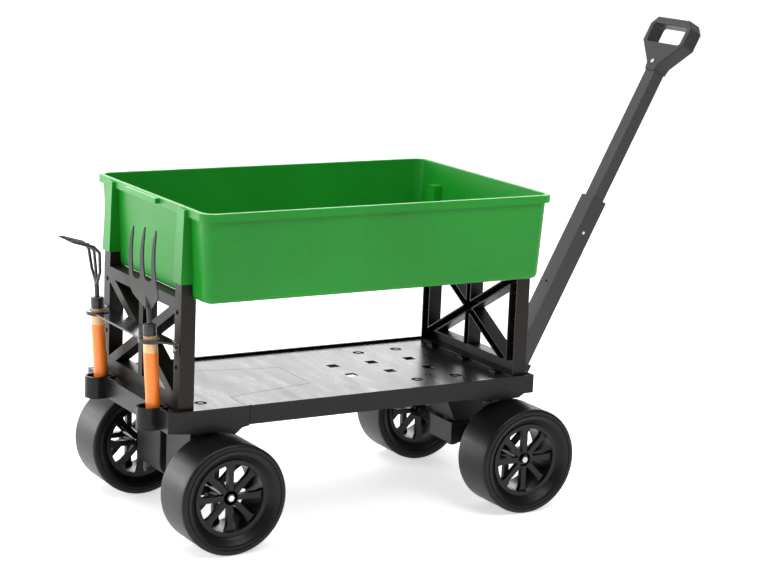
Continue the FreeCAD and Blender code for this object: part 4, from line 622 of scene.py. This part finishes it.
def woodHandle(name, bandAt):
    # Turned wood dipped in orange up to a height, and bare above it.
    look = woodLook
    tree = MaterialTree(name)
    grain = tree.noise(*look["grain"])
    bare = tree.tint(grain, look["bareReach"], look["bare"], look["bareShades"])
    dipped = tree.tint(grain, look["orangeReach"], look["orange"], look["orangeShades"])
    split = addNode(tree.tree, "ShaderNodeSeparateXYZ")
    tree.join(tree.coordinates, split.inputs["Vector"])
    edge = addNode(tree.tree, "ShaderNodeMapRange", {
        "From Min": bandAt - look["bandBlur"],
        "From Max": bandAt + look["bandBlur"],
    })
    tree.join(split.outputs["Z"], edge.inputs["Value"])
    tree.feed(tree.mix(edge.outputs["Result"], dipped, bare), "Base Color")
    tree.roughen(grain, *look["roughness"])
    tree.bump(
        (tree.noise(*look["fine"]), look["fineStrength"], look["fineHeight"]),
        (grain, look["grainStrength"], look["grainHeight"]),
    )
    setInputs(tree.shader, {
        "Coat Weight": look["coatWeight"],
        "Coat Roughness": look["coatRoughness"],
    })
    return tree.material


# Heights run up the handle from its foot.
handleShape = {
    "lean": -3.8,
    "bandHeight": 0.151,
    "steps": 48,
    "footHeight": 0.0002,
    "footEdge": (0.6, 0.0003),  # share of the radius, height
    "roundCenter": (0.0042, 0.0044),  # distance inside the radius, height
    "roundRadius": 0.0041,
    "roundSteps": 6,
    # Height, and how far the grip lies inside the handle's full radius.
    "grip": ((0.03, 0.0001), (0.07, 0.0006), (0.11, 0.0001), (0.141, 0.0002)),
    # Height and radius of the neck that tapers to the ferrule.
    "neck": ((0.147, 0.0149), (0.162, 0.0145), (0.174, 0.0140), (0.1855, 0.0136)),
    "tenonRadius": 0.0121,
    "tenonFoot": 0.1858,
    "tenonShoulder": 0.2035,
    "tenonTop": 0.2038,
}

ferruleShape = {
    "outer": 0.0137,
    "bore": 0.0124,
    "foot": 0.1861,
    "shoulder": 0.2035,
    "domeCenter": (0.0100, 0.2055),
    "domeRadius": 0.0036,
    "domeSteps": 5,
    "tangHole": 0.0052,
    "top": 0.2095,
    "innerTop": 0.2045,
    "innerShoulder": 0.2042,
}

toolEdges = {
    "fork_head": {"width": 0.0009, "angle": 28.0},
    "cultivator_tines": {"width": 0.0004, "angle": 60.0, "segments": 1},
}


def handleAxis(handleNode):
    # The handle's foot, lean and radius, from its box.
    low, high, middle = boxOf(handleNode)
    lean = math.radians(handleShape["lean"])
    radius = (high.y - low.y) / 2
    foot = Vector((high.x - radius * math.cos(lean), middle.y, low.z + radius * math.sin(-lean)))
    return foot, lean, radius


def handleProfile(radius):
    # The round foot, the grip, the neck and the tenon inside the ferrule.
    shape = handleShape
    edgeShare, edgeHeight = shape["footEdge"]
    centerInset, centerHeight = shape["roundCenter"]
    roundCenter = (radius - centerInset, centerHeight)
    profile = [(0.0, shape["footHeight"]), (radius * edgeShare, edgeHeight)]
    profile += arcPoints(roundCenter, shape["roundRadius"], -90, 0, shape["roundSteps"])
    profile += [(radius - inset, height) for height, inset in shape["grip"]]
    profile += [(neckRadius, height) for height, neckRadius in shape["neck"]]
    profile += [(shape["tenonRadius"], shape["tenonFoot"])]
    profile += [(shape["tenonRadius"], shape["tenonShoulder"]), (0.0, shape["tenonTop"])]
    return profile


def ferruleProfile():
    # The outside, the dome, the hole for the tang and the bore.
    shape = ferruleShape
    profile = [(shape["outer"], shape["foot"]), (shape["outer"], shape["shoulder"])]
    profile += arcPoints(shape["domeCenter"], shape["domeRadius"], 0, 90, shape["domeSteps"])
    profile += [(shape["tangHole"], shape["top"]), (shape["tangHole"], shape["innerTop"])]
    profile += [(shape["bore"], shape["innerShoulder"]), (shape["bore"], shape["foot"])]
    return profile


def makeHandTools(materials):
    steps = handleShape["steps"]
    for tool in ("fork", "cultivator"):
        foot, lean, radius = handleAxis(f"{tool}_handle")
        place = Matrix.Translation(foot) @ Matrix.Rotation(lean, 4, "Y")
        wood = woodHandle(f"{tool}Wood", foot.z + handleShape["bandHeight"] * math.cos(lean))
        profile = handleProfile(radius)
        handle = lathe(f"{tool}_turned_handle", profile, steps, wood, place, closed=False)
        finishPiece(handle, f"{tool}_handle")
        cap = lathe(f"{tool}_cap_ferrule", ferruleProfile(), steps, materials["toolSteel"], place)
        finishPiece(cap, f"{tool}_ferrule")
    for nodeName, edges in toolEdges.items():
        roundedNode(nodeName, materials["toolSteel"], **edges)
    print("hand tools made")


screwHead = {
    # The slot's length and width are shares of the head's radius, its depth a share of the height.
    "slotLength": 1.15,
    "slotWidth": 0.32,
    "slotDepth": 0.55,
    "sides": 28,
    "shankOverlap": 0.0002,
}

screwSizes = {
    "deck_screws": {"Head Radius": 0.0055, "Head Height": 0.0025, "Shank Radius": 0.0025},
    "panel_screws": {"Head Radius": 0.0045, "Head Height": 0.0025, "Shank Radius": 0.002},
}


def islandBoxes(nodeName):
    # The box of each separate solid in a node, in order of place.
    edit = mergedCopy(nodeName)
    left = set(edit.verts)
    boxes = []
    while left:
        stack = [left.pop()]
        members = []
        while stack:
            vert = stack.pop()
            members.append(vert.co.copy())
            for edge in vert.link_edges:
                other = edge.other_vert(vert)
                if other in left:
                    left.discard(other)
                    stack.append(other)
        low = Vector(min(co[axis] for co in members) for axis in range(3))
        high = Vector(max(co[axis] for co in members) for axis in range(3))
        boxes.append((low, high))
    edit.free()
    return sorted(boxes, key=lambda pair: (round(pair[0].x, 4), round(pair[0].y, 4)))


class GeometryTree:
    # A node group with named inputs, and a short way to add geometry nodes and join them.
    def __init__(self, name, inputNames):
        self.group = bpy.data.node_groups.new(name, "GeometryNodeTree")
        face = self.group.interface
        face.new_socket("Geometry", in_out="INPUT", socket_type="NodeSocketGeometry")
        for inputName in inputNames:
            face.new_socket(inputName, in_out="INPUT", socket_type="NodeSocketFloat")
        face.new_socket("Geometry", in_out="OUTPUT", socket_type="NodeSocketGeometry")
        self.start = self.add("NodeGroupInput").outputs
        self.end = self.add("NodeGroupOutput").inputs

    def add(self, kind):
        return addNode(self.group, kind)

    def join(self, source, target):
        self.group.links.new(source, target)

    def calc(self, operation, first, second):
        node = self.add("ShaderNodeMath")
        node.operation = operation
        for socket, value in zip(node.inputs, (first, second)):
            if isinstance(value, float):
                socket.default_value = value
            else:
                self.join(value, socket)
        return node.outputs[0]

    def vector(self, **parts):
        node = self.add("ShaderNodeCombineXYZ")
        for axis, source in parts.items():
            self.join(source, node.inputs[axis])
        return node.outputs[0]

    def moved(self, geometry, height):
        node = self.add("GeometryNodeTransform")
        self.join(self.vector(Z=height), node.inputs["Translation"])
        self.join(geometry, node.inputs["Geometry"])
        return node.outputs["Geometry"]

    def cylinder(self, radius, depth, sides):
        node = self.add("GeometryNodeMeshCylinder")
        node.inputs["Vertices"].default_value = sides
        self.join(radius, node.inputs["Radius"])
        self.join(depth, node.inputs["Depth"])
        return node.outputs["Mesh"]

    def bar(self, width, length, depth):
        node = self.add("GeometryNodeMeshCube")
        self.join(self.vector(X=width, Y=length, Z=depth), node.inputs["Size"])
        return node.outputs["Mesh"]

    def setOnPoints(self, geometry, material):
        # A copy on every point of the input, made real and given its material.
        spread = self.add("GeometryNodeInstanceOnPoints")
        self.join(self.start["Geometry"], spread.inputs["Points"])
        self.join(geometry, spread.inputs["Instance"])
        real = self.add("GeometryNodeRealizeInstances")
        self.join(spread.outputs["Instances"], real.inputs[0])
        finish = self.add("GeometryNodeSetMaterial")
        finish.inputs["Material"].default_value = material
        self.join(real.outputs[0], finish.inputs["Geometry"])
        self.join(finish.outputs[0], self.end[0])

    def inputCalled(self, name):
        # A modifier knows each input by this identifier.
        for item in self.group.interface.items_tree:
            if item.name == name and item.in_out == "INPUT":
                return item.identifier
        raise KeyError(name)


def screwTree(material):
    # Pan heads with a cross recess, and their shanks, on every point.
    tree = GeometryTree("screwHeads", ("Head Radius", "Head Height", "Shank Radius", "Shank Length"))
    radius = tree.start["Head Radius"]
    height = tree.start["Head Height"]
    length = tree.start["Shank Length"]
    sides = screwHead["sides"]
    head = tree.moved(tree.cylinder(radius, height, sides), tree.calc("MULTIPLY", height, -0.5))
    slotLength = tree.calc("MULTIPLY", radius, screwHead["slotLength"])
    slotWidth = tree.calc("MULTIPLY", radius, screwHead["slotWidth"])
    slotDepth = tree.calc("MULTIPLY", height, 2 * screwHead["slotDepth"])
    recess = tree.add("GeometryNodeMeshBoolean")
    recess.operation = "DIFFERENCE"
    tree.join(head, recess.inputs["Mesh 1"])
    for across, along in ((slotLength, slotWidth), (slotWidth, slotLength)):
        tree.join(tree.bar(across, along, slotDepth), recess.inputs["Mesh 2"])
    reach = tree.calc("SUBTRACT", height, screwHead["shankOverlap"])
    drop = tree.calc("SUBTRACT", tree.calc("MULTIPLY", length, -0.5), reach)
    shank = tree.moved(tree.cylinder(tree.start["Shank Radius"], length, sides), drop)
    whole = tree.add("GeometryNodeJoinGeometry")
    tree.join(recess.outputs["Mesh"], whole.inputs[0])
    tree.join(shank, whole.inputs[0])
    tree.setOnPoints(whole.outputs[0], material)
    return tree


def makeScrews(materials):
    tree = screwTree(materials["darkSteel"])
    for nodeName, sizes in screwSizes.items():
        boxes = islandBoxes(nodeName)
        points = [((low.x + high.x) / 2, (low.y + high.y) / 2, high.z) for low, high in boxes]
        mesh = bpy.data.meshes.new(f"{nodeName}_points")
        mesh.from_pydata(points, [], [])
        item = bpy.data.objects.new(f"{nodeName}_heads", mesh)
        linkItem(item)
        modifier = item.modifiers.new("screwHeads", "NODES")
        modifier.node_group = tree.group
        firstLow, firstHigh = boxes[0]
        length = firstHigh.z - firstLow.z - sizes["Head Height"]
        for name, value in {**sizes, "Shank Length": length}.items():
            modifier[tree.inputCalled(name)] = value
        applyModifiers(item)
        smoothMesh(item.data, meshWork["smoothAngle"])
        finishPiece(item, nodeName)
    print("screws made")


# node: (material, width of the rounded edge)
roundedNodes = {
    "deck_front": ("deck", 0.0014),
    "deck_rear": ("deck", 0.0014),
    "rear_panel": ("panel", 0.0012),
    "front_panel": ("panel", 0.0012),
    "tub": ("tub", 0.0012),
    "tool_rack": ("rack", 0.0012),
    "front_bolster": ("frame", 0.002),
    "axle_carrier": ("frame", 0.002),
    "rear_axle_bracket_left": ("frame", 0.0015),
    "rear_axle_bracket_right": ("frame", 0.0015),
    "tow_yoke": ("frame", 0.0025),
    "tow_outer_tube": ("tube", 0.0014),
    "tow_inner_tube": ("innerTube", 0.0009),
    "tow_grip": ("grip", 0.0015),
    "tube_guide_upper": ("grip", 0.0006),
    "side_rails": ("rail", 0.0008),
    "kingpin": ("darkSteel", 0.0008),
    "tow_pivot_bolt": ("darkSteel", 0.0008),
    "tow_pivot_nut": ("darkSteel", 0.0006),
    "rear_axle_nuts": ("darkSteel", 0.0006),
    "front_axle_nuts": ("darkSteel", 0.0006),
    "yoke_screws": ("darkSteel", 0.0005),
    "grip_screw": ("steel", 0.0004),
    "rack_screws": ("steel", 0.0004),
    "lock_button": ("button", 0.0008),
}

# These keep their CAD shape and only get a material.
plainNodes = {
    "rear_axle_tube": "rail",
    "rear_axle": "steel",
    "front_axle": "steel",
    "rear_axle_washers": "darkSteel",
    "front_axle_washers": "darkSteel",
    "thrust_washer": "nylon",
    "kingpin_nut": "darkSteel",
    "bracket_bolts": "darkSteel",
    "bolster_bolts": "darkSteel",
    "button_spring": "steel",
    "tube_guide_lower": "nylon",
}


def makeShells(materials):
    for nodeName, (materialName, width) in roundedNodes.items():
        roundedNode(nodeName, materials[materialName], width)
    for nodeName, materialName in plainNodes.items():
        setMaterial(nodeName, materials[materialName])
    print("shells made")


bpy.context.scene.view_settings.view_transform = "Standard"
makeCamera()
makeStudio()
finishes = makeMaterials()
makeShells(finishes)
makeWheels(finishes)
makeHandTools(finishes)
makeScrews(finishes)
